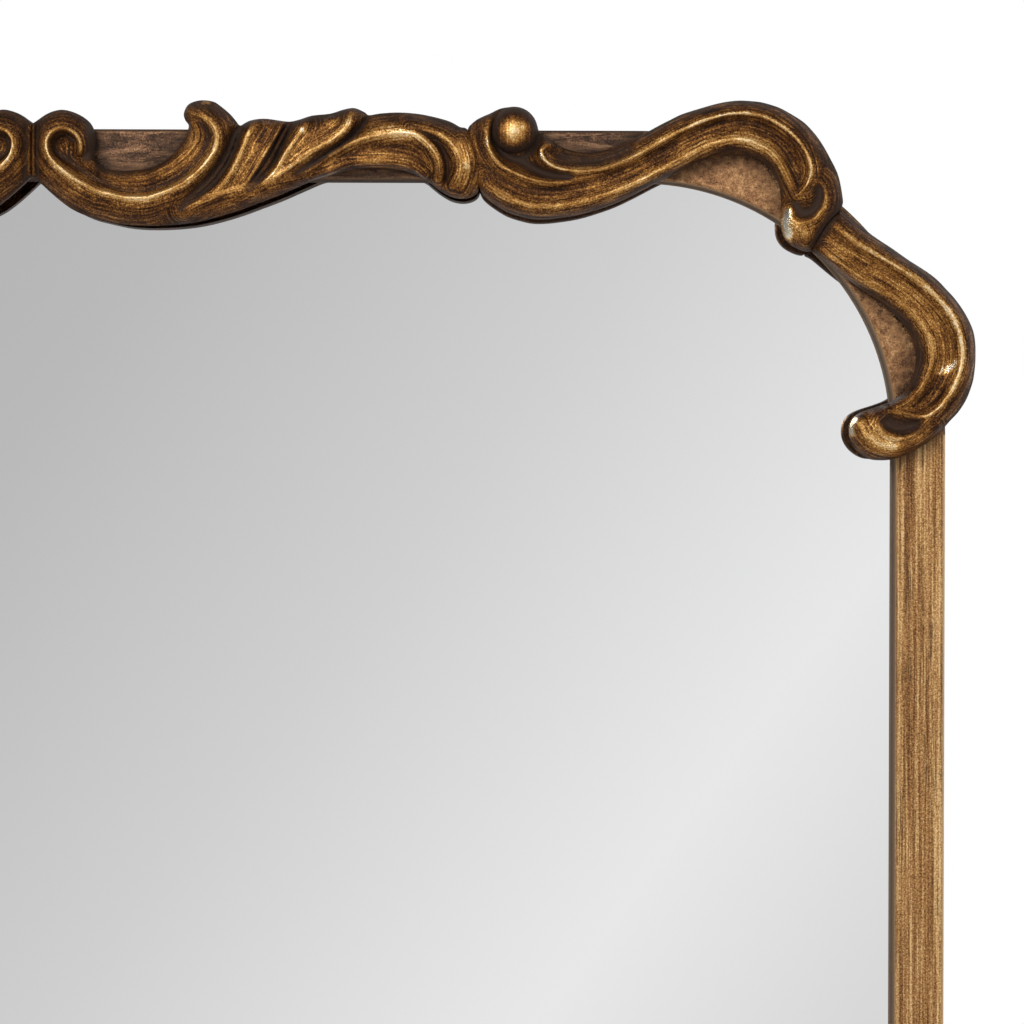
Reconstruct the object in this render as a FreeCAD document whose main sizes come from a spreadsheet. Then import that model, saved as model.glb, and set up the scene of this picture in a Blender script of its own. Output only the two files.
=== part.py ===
import FreeCAD, Part
import math
import os
import Sketcher

# Wall mirror with a flat bar frame, rounded top corners and a cast garland of scrolls.
# X runs to the viewer's right, Z up, Y towards the wall. The wall is the plane Y = 0, and Z = 0 is
# the height of the two wall hooks that the hanging rings drop over. All sizes are in millimetres.

doc = FreeCAD.newDocument("Mirror")
sizes = doc.addObject("Spreadsheet::Sheet", "Sizes")

# Driving dimensions: name, value, what it measures

driving = [
    ("frame_width", 593, "outside width of the bar frame"),
    ("frame_height", 905, "outside height of the bar frame"),
    ("rail_width", 16, "width of the bar seen from the front"),
    ("corner_radius", 98.5, "outside radius of the two top corners"),
    ("arris", 0.8, "bevel along both front edges of the bar"),
    ("lip_depth", 9, "bar in front of the glass"),
    ("rabbet_width", 5, "step that holds the glass"),
    ("glass_thickness", 3, "mirror glass"),
    ("glass_gap", 0.5, "play between the glass edge and the step"),
    ("foam_thickness", 1, "soft strip behind the glass"),
    ("foam_width", 8, "width of the soft strip"),
    ("foam_gap", 2, "play between strips that meet at a corner"),
    ("board_thickness", 3, "backing board"),
    ("board_inset", 3, "backing board edge inside the frame edge"),
    ("bumper_height", 5, "rubber bumper between board and wall"),
    ("bumper_radius", 6, "bumper"),
    ("bumper_inset", 7, "bumper centre inside the board edge"),
    ("fit_gap", 0.05, "clearance all round a pin, dowel or screw"),
    ("dowel_radius", 3, "wood dowel across a butt joint"),
    ("dowel_length", 28, "wood dowel"),
    ("dowel_relief", 0.5, "air at each end of a dowel"),
    ("mitre_key_leg", 13, "leg of the triangular key in a mitred corner"),
    ("mitre_key_thickness", 1.6, "triangular key"),
    ("board_screw_radius", 1.5, "shank of a backing screw"),
    ("board_screw_length", 12, "backing screw under its head"),
    ("board_screw_head_radius", 3, "head of a backing screw"),
    ("board_screw_head_height", 1.6, "head of a backing screw"),
    ("board_screw_inset", 4.5, "backing screw inside the board edge"),
    ("hanger_drop", 152, "wall hook below the top of the frame"),
    ("strap_width", 9, "hanger strap"),
    ("strap_thickness", 0.8, "hanger strap and the eye rolled from it"),
    ("strap_length", 40, "hanger strap from the eye to its round end"),
    ("strap_inset", 6.5, "hanger strap axis inside the board edge"),
    ("strap_first_screw", 21, "upper strap screw below the eye"),
    ("strap_screw_spacing", 13, "distance between the two strap screws"),
    ("strap_screw_radius", 1.5, "shank of a strap screw"),
    ("strap_screw_length", 12, "strap screw under its head"),
    ("strap_screw_head_radius", 2.8, "head of a strap screw"),
    ("strap_screw_head_height", 1.6, "head of a strap screw"),
    ("ring_wire_radius", 1.2, "wire of the hanging ring"),
    ("ring_half_width", 7.5, "ring axis to the axis of its side wire"),
    ("ring_bend_radius", 2.5, "bend beside the straight bar of the ring"),
    ("ring_leg", 2.5, "straight side of the ring"),
    ("ring_rest_tilt", 2, "degrees that the hanging ring leans off the strap"),
    ("hook_overhang", 9.3, "corner hook outside the side of the frame"),
    ("hook_drop", 8.75, "lowest point of a corner hook below the end of the corner's arc"),
    ("garland_relief", 12, "height of the highest ridge above the bar"),
]
for row, (name, value, meaning) in enumerate(driving, start=1):
    sizes.set("A%d" % row, name)
    sizes.set("B%d" % row, str(value))
    sizes.set("C%d" % row, meaning)
    sizes.setAlias("B%d" % row, name)
doc.recompute()


def size(name):
    return float(sizes.get(name))


# Derived places, as expressions on the sheet

FRAME_DEPTH = "(Sizes.lip_depth + Sizes.glass_thickness + Sizes.foam_thickness)"
BOARD_BACK_Y = "(-Sizes.bumper_height)"
FRAME_BACK_Y = "(-Sizes.bumper_height - Sizes.board_thickness)"
FACE_Y = "(%s - %s)" % (FRAME_BACK_Y, FRAME_DEPTH)
TOP_Z = "Sizes.hanger_drop"
BOTTOM_Z = "(Sizes.hanger_drop - Sizes.frame_height)"
HALF_WIDTH = "(Sizes.frame_width / 2)"
CORNER_X = "(Sizes.frame_width / 2 - Sizes.corner_radius)"
CORNER_Z = "(Sizes.hanger_drop - Sizes.corner_radius)"
DOWEL_INSET = "((Sizes.rail_width - Sizes.rabbet_width) / 2)"
DOWEL_Y = "(%s - %s / 2)" % (FRAME_BACK_Y, FRAME_DEPTH)
SIDES = (("left", -1), ("right", 1))
SMALL_ROUND_SIDES = 8


def place(item, x, y, z):
    item.setExpression("Placement.Base.x", x)
    item.setExpression("Placement.Base.y", y)
    item.setExpression("Placement.Base.z", z)


def origin_plane(body, role):
    return [plane for plane in body.Origin.OriginFeatures if plane.Role == role][0]


def new_body(name, plane_role):
    body = doc.addObject("PartDesign::Body", name)
    sketch = body.newObject("Sketcher::SketchObject", name + "_sketch")
    sketch.AttachmentSupport = [(origin_plane(body, plane_role), "")]
    sketch.MapMode = "FlatFace"
    return body, sketch


def pin_point(sketch, line, horizontal, vertical):
    # Ties the start of a line to two expressions measured from the sketch's origin.
    for direction, expression in (("DistanceX", horizontal), ("DistanceY", vertical)):
        value = doc.Sizes.evalExpression(expression)
        index = sketch.addConstraint(Sketcher.Constraint(direction, -1, 1, line, 1, value))
        sketch.setExpression("Constraints[%d]" % index, expression)


def closed_outline(sketch, corners):
    # A closed run of straight lines whose corners are pairs of expressions.
    values = [[doc.Sizes.evalExpression(part) for part in corner] for corner in corners]
    for here, there in zip(values, values[1:] + values[:1]):
        start = FreeCAD.Vector(here[0], here[1], 0)
        end = FreeCAD.Vector(there[0], there[1], 0)
        sketch.addGeometry(Part.LineSegment(start, end))
    count = len(corners)
    for line in range(count):
        sketch.addConstraint(Sketcher.Constraint("Coincident", line, 2, (line + 1) % count, 1))
    for line, (horizontal, vertical) in enumerate(corners):
        pin_point(sketch, line, horizontal, vertical)


def pad(body, sketch, length, midplane=False):
    feature = body.newObject("PartDesign::Pad", body.Name + "_pad")
    feature.Profile = sketch
    feature.setExpression("Length", length)
    feature.Midplane = midplane


def bar_section(across, depth):
    # The bar's section. across and depth turn a distance from the outer edge, and one from the
    # back, into the sketch's two directions.
    step = "Sizes.rail_width - Sizes.rabbet_width"
    ledge = "%s - Sizes.lip_depth" % FRAME_DEPTH
    shoulder = "%s - Sizes.arris" % FRAME_DEPTH
    run = [
        ("0", "0"),
        ("0", shoulder),
        ("Sizes.arris", FRAME_DEPTH),
        ("Sizes.rail_width - Sizes.arris", FRAME_DEPTH),
        ("Sizes.rail_width", shoulder),
        ("Sizes.rail_width", ledge),
        (step, ledge),
        (step, "0"),
    ]
    return [(across % u, depth % v) for u, v in run]


def cylinder(name, radius, height, rotation, x, y, z):
    item = doc.addObject("Part::Cylinder", name)
    item.setExpression("Radius", radius)
    item.setExpression("Height", height)
    item.Placement.Rotation = rotation
    place(item, x, y, z)
    return item


def prism(name, radius, height, rotation, x, y, z):
    # A small round piece with few sides.
    item = doc.addObject("Part::Prism", name)
    item.Polygon = SMALL_ROUND_SIDES
    item.setExpression("Circumradius", radius)
    item.setExpression("Height", height)
    item.Placement.Rotation = rotation
    place(item, x, y, z)
    return item


def cut(name, base, tools):
    tool = tools[0]
    if len(tools) > 1:
        tool = doc.addObject("Part::MultiFuse", name + "_tools")
        tool.Shapes = tools
    item = doc.addObject("Part::Cut", name)
    item.Base = base
    item.Tool = tool
    return item


def group(name, items):
    item = doc.addObject("Part::Compound", name)
    item.Links = items
    return item


ALONG_X = FreeCAD.Rotation(FreeCAD.Vector(0, 1, 0), 90)
ALONG_Z = FreeCAD.Rotation()
TO_FRONT = FreeCAD.Rotation(FreeCAD.Vector(1, 0, 0), 90)
nodes = []

# Dowels: one across each butt joint between a corner block and the bar beside it


def dowel_set(prefix, radius, length):
    made = []
    half = "(%s) / 2" % length
    for side, sign in SIDES:
        top_x = "%d * %s - %s" % (sign, CORNER_X, half)
        top_z = "%s - %s" % (TOP_Z, DOWEL_INSET)
        made.append(prism("%s_top_%s" % (prefix, side), radius, length, ALONG_X, top_x, DOWEL_Y, top_z))
        side_x = "%d * (%s - %s)" % (sign, HALF_WIDTH, DOWEL_INSET)
        side_z = "%s - %s" % (CORNER_Z, half)
        made.append(prism("%s_side_%s" % (prefix, side), radius, length, ALONG_Z, side_x, DOWEL_Y, side_z))
    return made


dowels = dowel_set("dowel", "Sizes.dowel_radius", "Sizes.dowel_length")
dowel_bores = dowel_set(
    "dowel_bore",
    "Sizes.dowel_radius + Sizes.fit_gap",
    "Sizes.dowel_length + 2 * Sizes.dowel_relief",
)
nodes.append(group("corner_dowels", dowels))

# Mitre keys: thin triangular plates glued across the two bottom corners


def mitre_key(name, thickness, sign):
    body, sketch = new_body(name, "XZ_Plane")
    leg = "%d * Sizes.mitre_key_leg" % -sign
    closed_outline(sketch, [("0", "0"), (leg, "0"), ("0", "Sizes.mitre_key_leg")])
    pad(body, sketch, thickness, midplane=True)
    place(body, "%d * %s" % (sign, HALF_WIDTH), DOWEL_Y, BOTTOM_Z)
    return body


keys = [mitre_key("key_" + side, "Sizes.mitre_key_thickness", sign) for side, sign in SIDES]
slot_width = "Sizes.mitre_key_thickness + 2 * Sizes.fit_gap"
key_slots = [mitre_key("key_slot_" + side, slot_width, sign) for side, sign in SIDES]
nodes.append(group("mitre_keys", keys))

# Screws: round heads on the board's back, shanks through the board into the bar


UPPER_SCREW_SHARE = 1.25
LOWER_SCREW_SHARE = 0.25
TOP_SCREW_SHARE = 0.5
BOTTOM_SCREW_SHARE = 0.45


def screw_places():
    row = "(Sizes.board_inset + Sizes.board_screw_inset)"
    side_x = "(%s - %s)" % (HALF_WIDTH, row)
    upper_z = "(%s - %s * Sizes.corner_radius)" % (TOP_Z, UPPER_SCREW_SHARE)
    lower_z = "(%s + %s * Sizes.frame_height)" % (BOTTOM_Z, LOWER_SCREW_SHARE)
    top_x = "%s * %s" % (TOP_SCREW_SHARE, CORNER_X)
    bottom_x = "%s * %s" % (BOTTOM_SCREW_SHARE, HALF_WIDTH)
    spots = []
    for sign in (-1, 1):
        spots.append(("%d * %s" % (sign, top_x), "%s - %s" % (TOP_Z, row)))
        spots.append(("%d * %s" % (sign, side_x), upper_z))
        spots.append(("%d * %s" % (sign, side_x), lower_z))
        spots.append(("%d * %s" % (sign, bottom_x), "%s + %s" % (BOTTOM_Z, row)))
    return spots


def screw(name, kind, x, back_y, z):
    # A round head standing on the plane back_y, and its shank in front of that plane.
    head_y = "%s + Sizes.%s_head_height" % (back_y, kind)
    head = prism(
        name + "_head",
        "Sizes.%s_head_radius" % kind,
        "Sizes.%s_head_height" % kind,
        TO_FRONT,
        x,
        head_y,
        z,
    )
    shank = prism(
        name + "_shank",
        "Sizes.%s_radius" % kind,
        "Sizes.%s_length + Sizes.%s_head_height" % (kind, kind),
        TO_FRONT,
        x,
        head_y,
        z,
    )
    item = doc.addObject("Part::Fuse", name)
    item.Base = shank
    item.Tool = head
    return item


board_screws = []
board_screw_bores = []
for number, (x, z) in enumerate(screw_places(), start=1):
    board_screws.append(screw("board_screw_%d" % number, "board_screw", x, BOARD_BACK_Y, z))
    bore = prism(
        "board_screw_bore_%d" % number,
        "Sizes.board_screw_radius + Sizes.fit_gap",
        "Sizes.board_screw_length + Sizes.fit_gap",
        TO_FRONT,
        x,
        BOARD_BACK_Y,
        z,
    )
    board_screw_bores.append(bore)
nodes.append(group("backing_screws", board_screws))

STRAP_X = "(%s - Sizes.board_inset - Sizes.strap_inset)" % HALF_WIDTH
EYE_Y = "(%s + Sizes.strap_thickness + Sizes.fit_gap + Sizes.ring_wire_radius)" % BOARD_BACK_Y
RING_DEPTH = "(Sizes.ring_bend_radius + Sizes.ring_leg + Sizes.ring_half_width)"
EYE_Z = "(-%s + Sizes.ring_wire_radius)" % RING_DEPTH
STRAP_SCREW_BACK_Y = "(%s + Sizes.strap_thickness)" % BOARD_BACK_Y
strap_screws = []
strap_screw_bores = {"left": [], "right": []}
for side, sign in SIDES:
    for number in (0, 1):
        x = "%d * %s" % (sign, STRAP_X)
        z = "%s - Sizes.strap_first_screw - %d * Sizes.strap_screw_spacing" % (EYE_Z, number)
        name = "strap_screw_%s_%d" % (side, number + 1)
        strap_screws.append(screw(name, "strap_screw", x, STRAP_SCREW_BACK_Y, z))
        bore = prism(
            name + "_bore",
            "Sizes.strap_screw_radius + Sizes.fit_gap",
            "Sizes.strap_screw_length + Sizes.fit_gap",
            TO_FRONT,
            x,
            STRAP_SCREW_BACK_Y,
            z,
        )
        strap_screw_bores[side].append(bore)
nodes.append(group("hanger_screws", strap_screws))
all_strap_bores = strap_screw_bores["left"] + strap_screw_bores["right"]

# Top rail: a straight length of the bar between the two corner blocks

body, sketch = new_body("top_bar", "YZ_Plane")
closed_outline(sketch, [(v, u) for u, v in bar_section("-(%s)", "-(%s)")])
pad(body, sketch, "2 * %s" % CORNER_X, midplane=True)
place(body, "0", FRAME_BACK_Y, TOP_Z)
nodes.append(cut("top_rail", body, dowel_bores + board_screw_bores))

# Corner blocks: a quarter turn of the same section

for side, sign in SIDES:
    body, sketch = new_body("corner_bar_" + side, "YZ_Plane")
    section = bar_section("Sizes.corner_radius - (%s)", "-(%s)")
    closed_outline(sketch, [(v, u) for u, v in section])
    turn = body.newObject("PartDesign::Revolution", "corner_turn_" + side)
    turn.Profile = sketch
    turn.ReferenceAxis = (sketch, ["H_Axis"])
    turn.Angle = 90
    turn.Reversed = sign < 0
    place(body, "%d * %s" % (sign, CORNER_X), FRAME_BACK_Y, CORNER_Z)
    nodes.append(cut("corner_block_" + side, body, dowel_bores))

# Stiles: the upright bars, mitred at the foot

for side, sign in SIDES:
    body, sketch = new_body("stile_bar_" + side, "XY_Plane")
    closed_outline(sketch, bar_section("%d * (%%s)" % -sign, "-(%s)"))
    pad(body, sketch, "Sizes.frame_height - Sizes.corner_radius")
    mitre = body.newObject("Sketcher::SketchObject", "stile_mitre_sketch_" + side)
    mitre.AttachmentSupport = [(origin_plane(body, "XZ_Plane"), "")]
    mitre.MapMode = "FlatFace"
    inner = "%d * Sizes.rail_width" % -sign
    closed_outline(mitre, [("0", "0"), (inner, "Sizes.rail_width"), (inner, "0")])
    pocket = body.newObject("PartDesign::Pocket", "stile_mitre_" + side)
    pocket.Profile = mitre
    pocket.Type = 1
    pocket.Midplane = True
    place(body, "%d * %s" % (sign, HALF_WIDTH), FRAME_BACK_Y, BOTTOM_Z)
    tools = dowel_bores + board_screw_bores + key_slots + all_strap_bores
    nodes.append(cut("stile_" + side, body, tools))

# Bottom rail: the same bar, mitred at both ends

body, sketch = new_body("bottom_bar", "YZ_Plane")
closed_outline(sketch, [(v, u) for u, v in bar_section("%s", "-(%s)")])
pad(body, sketch, "Sizes.frame_width", midplane=True)
for side, sign in SIDES:
    mitre = body.newObject("Sketcher::SketchObject", "bottom_mitre_sketch_" + side)
    mitre.AttachmentSupport = [(origin_plane(body, "XZ_Plane"), "")]
    mitre.MapMode = "FlatFace"
    end = "%d * %s" % (sign, HALF_WIDTH)
    inner_end = "%d * (%s - Sizes.rail_width)" % (sign, HALF_WIDTH)
    closed_outline(mitre, [(end, "0"), (end, "Sizes.rail_width"), (inner_end, "Sizes.rail_width")])
    pocket = body.newObject("PartDesign::Pocket", "bottom_mitre_" + side)
    pocket.Profile = mitre
    pocket.Type = 1
    pocket.Midplane = True
place(body, "0", FRAME_BACK_Y, BOTTOM_Z)
nodes.append(cut("bottom_rail", body, key_slots + board_screw_bores))

# Glass and backing board: plates with the frame's outline, drawn in by an inset


def framed_plate(name, inset, thickness, back_y):
    body, sketch = new_body(name, "XZ_Plane")
    width = doc.Sizes.evalExpression("Sizes.frame_width - 2 * (%s)" % inset)
    top = doc.Sizes.evalExpression("%s - (%s)" % (TOP_Z, inset))
    bottom = doc.Sizes.evalExpression("%s + (%s)" % (BOTTOM_Z, inset))
    radius = doc.Sizes.evalExpression("Sizes.corner_radius - (%s)" % inset)
    half = width / 2
    V = FreeCAD.Vector
    up = V(0, 0, 1)
    sketch.addGeometry(Part.LineSegment(V(-half, bottom, 0), V(half, bottom, 0)))
    sketch.addGeometry(Part.LineSegment(V(half, bottom, 0), V(half, top - radius, 0)))
    circle = Part.Circle(V(half - radius, top - radius, 0), up, radius)
    sketch.addGeometry(Part.ArcOfCircle(circle, 0, math.pi / 2))
    sketch.addGeometry(Part.LineSegment(V(half - radius, top, 0), V(radius - half, top, 0)))
    circle = Part.Circle(V(radius - half, top - radius, 0), up, radius)
    sketch.addGeometry(Part.ArcOfCircle(circle, math.pi / 2, math.pi))
    sketch.addGeometry(Part.LineSegment(V(-half, top - radius, 0), V(-half, bottom, 0)))
    sketch.addConstraint(Sketcher.Constraint("Horizontal", 3))
    for line in (1, 5):
        sketch.addConstraint(Sketcher.Constraint("Vertical", line))
    sketch.addConstraint(Sketcher.Constraint("Coincident", 0, 2, 1, 1))
    sketch.addConstraint(Sketcher.Constraint("Coincident", 5, 2, 0, 1))
    for first, second in ((1, 2), (3, 4)):
        sketch.addConstraint(Sketcher.Constraint("Tangent", first, 2, second, 1))
    for first, second in ((2, 3), (4, 5)):
        sketch.addConstraint(Sketcher.Constraint("Tangent", first, 2, second, 1))
    sketch.addConstraint(Sketcher.Constraint("Equal", 2, 4))
    sketch.addConstraint(Sketcher.Constraint("Symmetric", 0, 1, 0, 2, -2))
    index = sketch.addConstraint(Sketcher.Constraint("Radius", 2, radius))
    sketch.setExpression("Constraints[%d]" % index, "Sizes.corner_radius - (%s)" % inset)
    index = sketch.addConstraint(Sketcher.Constraint("DistanceX", 0, 1, 0, 2, width))
    sketch.setExpression("Constraints[%d]" % index, "Sizes.frame_width - 2 * (%s)" % inset)
    index = sketch.addConstraint(Sketcher.Constraint("DistanceY", -1, 1, 0, 1, bottom))
    sketch.setExpression("Constraints[%d]" % index, "%s + (%s)" % (BOTTOM_Z, inset))
    index = sketch.addConstraint(Sketcher.Constraint("DistanceY", -1, 1, 3, 1, top))
    sketch.setExpression("Constraints[%d]" % index, "%s - (%s)" % (TOP_Z, inset))
    pad(body, sketch, thickness)
    place(body, "0", back_y, "0")
    return body


GLASS_INSET = "Sizes.rail_width - Sizes.rabbet_width + Sizes.glass_gap"
GLASS_BACK_Y = "(%s - Sizes.foam_thickness)" % FRAME_BACK_Y
nodes.append(framed_plate("mirror_glass", GLASS_INSET, "Sizes.glass_thickness", GLASS_BACK_Y))
board = framed_plate("board_blank", "Sizes.board_inset", "Sizes.board_thickness", BOARD_BACK_Y)
nodes.append(cut("backing_board", board, board_screw_bores + all_strap_bores))

# Foam strips: pressed between the glass and the board along its four edges


def strip(name, low_x, low_z, width, height):
    item = doc.addObject("Part::Box", name)
    item.setExpression("Length", width)
    item.setExpression("Width", "Sizes.foam_thickness")
    item.setExpression("Height", height)
    place(item, low_x, GLASS_BACK_Y, low_z)
    return item


glass_left = "(-%s + %s)" % (HALF_WIDTH, GLASS_INSET)
glass_bottom = "(%s + %s)" % (BOTTOM_Z, GLASS_INSET)
upright = "%s - %s - Sizes.foam_width - Sizes.foam_gap" % (CORNER_Z, glass_bottom)
foam = [
    strip("foam_bottom", glass_left, glass_bottom, "-2 * %s" % glass_left, "Sizes.foam_width"),
    strip(
        "foam_top",
        "-%s" % CORNER_X,
        "%s - (%s) - Sizes.foam_width" % (TOP_Z, GLASS_INSET),
        "2 * %s" % CORNER_X,
        "Sizes.foam_width",
    ),
]
for side, low_x in (("left", glass_left), ("right", "-%s - Sizes.foam_width" % glass_left)):
    low_z = "%s + Sizes.foam_width + Sizes.foam_gap" % glass_bottom
    foam.append(strip("foam_" + side, low_x, low_z, "Sizes.foam_width", upright))
nodes.append(group("foam_strips", foam))

# Wall bumpers: rubber feet glued to the board near its four corners

bumper_x = "(%s - Sizes.board_inset - Sizes.bumper_inset)" % HALF_WIDTH
bumper_low_z = "%s + Sizes.board_inset + Sizes.bumper_inset" % BOTTOM_Z
bumper_high_z = "%s - Sizes.board_inset - Sizes.bumper_inset" % TOP_Z
for level, reach, z in (("bottom", bumper_x, bumper_low_z), ("top", CORNER_X, bumper_high_z)):
    for side, sign in SIDES:
        name = "wall_bumper_%s_%s" % (level, side)
        x = "%d * %s" % (sign, reach)
        bumper = prism(name, "Sizes.bumper_radius", "Sizes.bumper_height", TO_FRONT, x, "0", z)
        bumper.Polygon = 2 * SMALL_ROUND_SIDES
        nodes.append(bumper)

# Hanger straps: steel strip with a round end, rolled at the top into an eye for the ring

for side, sign in SIDES:
    x = "%d * %s" % (sign, STRAP_X)
    left_edge = "%s - Sizes.strap_width / 2" % x
    plate = doc.addObject("Part::Box", "strap_plate_" + side)
    plate.setExpression("Length", "Sizes.strap_width")
    plate.setExpression("Width", "Sizes.strap_thickness")
    plate.setExpression("Height", "Sizes.strap_length - Sizes.strap_width / 2")
    place(plate, left_edge, BOARD_BACK_Y, "%s - Sizes.strap_length + Sizes.strap_width / 2" % EYE_Z)
    round_end = cylinder(
        "strap_end_" + side,
        "Sizes.strap_width / 2",
        "Sizes.strap_thickness",
        TO_FRONT,
        x,
        "%s + Sizes.strap_thickness" % BOARD_BACK_Y,
        "%s - Sizes.strap_length + Sizes.strap_width / 2" % EYE_Z,
    )
    roll_radius = "Sizes.ring_wire_radius + Sizes.fit_gap + Sizes.strap_thickness"
    roll = cylinder("strap_roll_" + side, roll_radius, "Sizes.strap_width", ALONG_X, left_edge, EYE_Y, EYE_Z)
    blank = doc.addObject("Part::MultiFuse", "strap_blank_" + side)
    blank.Shapes = [plate, round_end, roll]
    eye_radius = "Sizes.ring_wire_radius + Sizes.fit_gap"
    eye = cylinder("strap_eye_" + side, eye_radius, "Sizes.strap_width", ALONG_X, left_edge, EYE_Y, EYE_Z)
    nodes.append(cut("hanger_strap_" + side, blank, [eye] + strap_screw_bores[side]))

# Hanging rings: one bent wire each, its straight bar in the strap's eye. The wire is lofted by code
# through flat-sided sections square to its line, because it lies at a small angle to the frame.

BEND_STEPS = 3
BOW_STEPS = 10


def ring_line():
    # Stations round the ring in its own plane: distance across, height, and the wire's direction.
    half = size("ring_half_width")
    bend = size("ring_bend_radius")
    foot = -bend - size("ring_leg")
    stations = [(0, 0, 0)]
    for step in range(BEND_STEPS + 1):
        turn = step * math.pi / 2 / BEND_STEPS
        stations.append((half - bend + bend * math.sin(turn), bend * math.cos(turn) - bend, turn))
    for step in range(BOW_STEPS + 1):
        turn = step * math.pi / BOW_STEPS
        stations.append((half * math.cos(turn), foot - half * math.sin(turn), math.pi / 2 + turn))
    for step in range(BEND_STEPS + 1):
        turn = step * math.pi / 2 / BEND_STEPS
        stations.append((-half + bend - bend * math.cos(turn), bend * math.sin(turn) - bend, math.pi * 1.5 + turn))
    return stations


def facetted_solid(rings, closed_run):
    # A solid with flat triangles between rings of equally many points.
    faces = []
    count = len(rings[0])
    pairs = list(zip(rings, rings[1:]))
    if closed_run:
        pairs.append((rings[-1], rings[0]))
    for here, there in pairs:
        for corner in range(count):
            after = (corner + 1) % count
            a, b, c, d = here[corner], here[after], there[after], there[corner]
            for triangle in ((a, b, c), (a, c, d)):
                faces.append(Part.Face(Part.makePolygon(list(triangle) + [triangle[0]])))
    if not closed_run:
        for ring in (rings[0], rings[-1]):
            faces.append(Part.Face(Part.makePolygon(ring + ring[:1])))
    solid = Part.Solid(Part.makeShell(faces))
    if solid.Volume < 0:
        solid.reverse()
    return solid.removeSplitter()


def ring_shape():
    rings = []
    radius = size("ring_wire_radius")
    for across, height, turn in ring_line():
        outward = FreeCAD.Vector(math.sin(turn), 0, math.cos(turn))
        centre = FreeCAD.Vector(across, 0, height)
        loop = []
        for side in range(SMALL_ROUND_SIDES):
            angle = (side + 0.5) * 2 * math.pi / SMALL_ROUND_SIDES
            beside = FreeCAD.Vector(0, radius * math.sin(angle), 0)
            loop.append(centre + outward * (radius * math.cos(angle)) + beside)
        rings.append(loop)
    return facetted_solid(rings, True)


for side, sign in SIDES:
    ring = doc.addObject("Part::Feature", "hanger_ring_" + side)
    ring.Shape = ring_shape()
    ring.Placement.Rotation = FreeCAD.Rotation(FreeCAD.Vector(1, 0, 0), size("ring_rest_tilt"))
    place(ring, "%d * %s" % (sign, STRAP_X), EYE_Y, EYE_Z)
    nodes.append(ring)

# Garland castings. Each has a flat back on the face of the bar and is lofted through sections that
# carry two ridges with a hollow between them. A section is two edge points and a height: x in shares
# of the half width over the hooks, z in shares of the drop from the top of the frame to the lowest
# point of a hook, height in shares of garland_relief.

section_shares = [(-1, 0), (-0.86, 0.6), (-0.55, 1), (-0.05, 0.74), (0.5, 0.96), (0.84, 0.56), (1, 0)]

crest_scroll_shares = [
    (0.164, 0.035, 0.163, 0.07, 0.35),
    (0.171, 0.01, 0.176, 0.09, 0.7),
    (0.175, -0.01, 0.202, 0.07, 0.85),
    (0.169, -0.03, 0.217, 0.00, 0.9),
    (0.161, -0.06, 0.207, -0.09, 0.9),
    (0.145, -0.10, 0.184, -0.18, 0.9),
    (0.121, -0.12, 0.156, -0.29, 0.92),
    (0.092, -0.12, 0.116, -0.30, 0.95),
    (0.071, -0.11, 0.078, -0.28, 0.95),
    (0.056, -0.09, 0.049, -0.25, 0.9),
    (0.034, -0.06, 0.020, -0.18, 0.85),
    (0.020, -0.03, 0.003, -0.09, 0.75),
]
belly_shares = [
    (0.150, -0.18, 0.150, -0.295, 0.7),
    (0.184, -0.20, 0.184, -0.28, 0.68),
    (0.222, -0.18, 0.225, -0.25, 0.62),
    (0.259, -0.15, 0.264, -0.21, 0.55),
    (0.291, -0.13, 0.294, -0.17, 0.45),
    (0.316, -0.12, 0.314, -0.155, 0.3),
]
leaf_one_shares = [
    (0.162, -0.235, 0.169, -0.255, 0.6),
    (0.192, -0.20, 0.206, -0.22, 0.7),
    (0.207, -0.15, 0.229, -0.19, 0.8),
    (0.219, -0.09, 0.245, -0.11, 0.85),
    (0.226, -0.035, 0.257, -0.04, 0.85),
    (0.236, 0.01, 0.268, 0.01, 0.75),
    (0.246, 0.028, 0.263, 0.025, 0.4),
]
leaf_two_shares = [
    (0.232, -0.19, 0.238, -0.20, 0.55),
    (0.251, -0.15, 0.268, -0.16, 0.7),
    (0.267, -0.09, 0.297, -0.11, 0.8),
    (0.281, -0.02, 0.323, -0.06, 0.85),
    (0.297, 0.02, 0.340, 0.00, 0.85),
    (0.318, 0.04, 0.343, 0.045, 0.65),
    (0.335, 0.06, 0.344, 0.056, 0.4),
]
arm_shares = [
    (0.288, -0.13, 0.296, -0.15, 0.5),
    (0.312, -0.07, 0.325, -0.13, 0.7),
    (0.333, -0.03, 0.344, -0.12, 0.8),
    (0.357, 0.03, 0.363, -0.12, 0.85),
    (0.388, 0.05, 0.391, -0.12, 0.88),
    (0.422, 0.04, 0.412, -0.14, 0.88),
    (0.452, 0.00, 0.424, -0.17, 0.88),
    (0.463, -0.07, 0.440, -0.21, 0.85),
    (0.465, -0.15, 0.457, -0.23, 0.6),
]
spray_bed_shares = [
    (0.222, 0.01), (0.235, 0.028), (0.266, 0.028), (0.30, 0.04), (0.335, 0.056), (0.356, 0.045),
    (0.356, -0.11), (0.318, -0.125), (0.29, -0.15), (0.255, -0.19), (0.215, -0.23), (0.185, -0.25),
    (0.165, -0.24), (0.19, -0.18), (0.212, -0.10),
]
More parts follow.
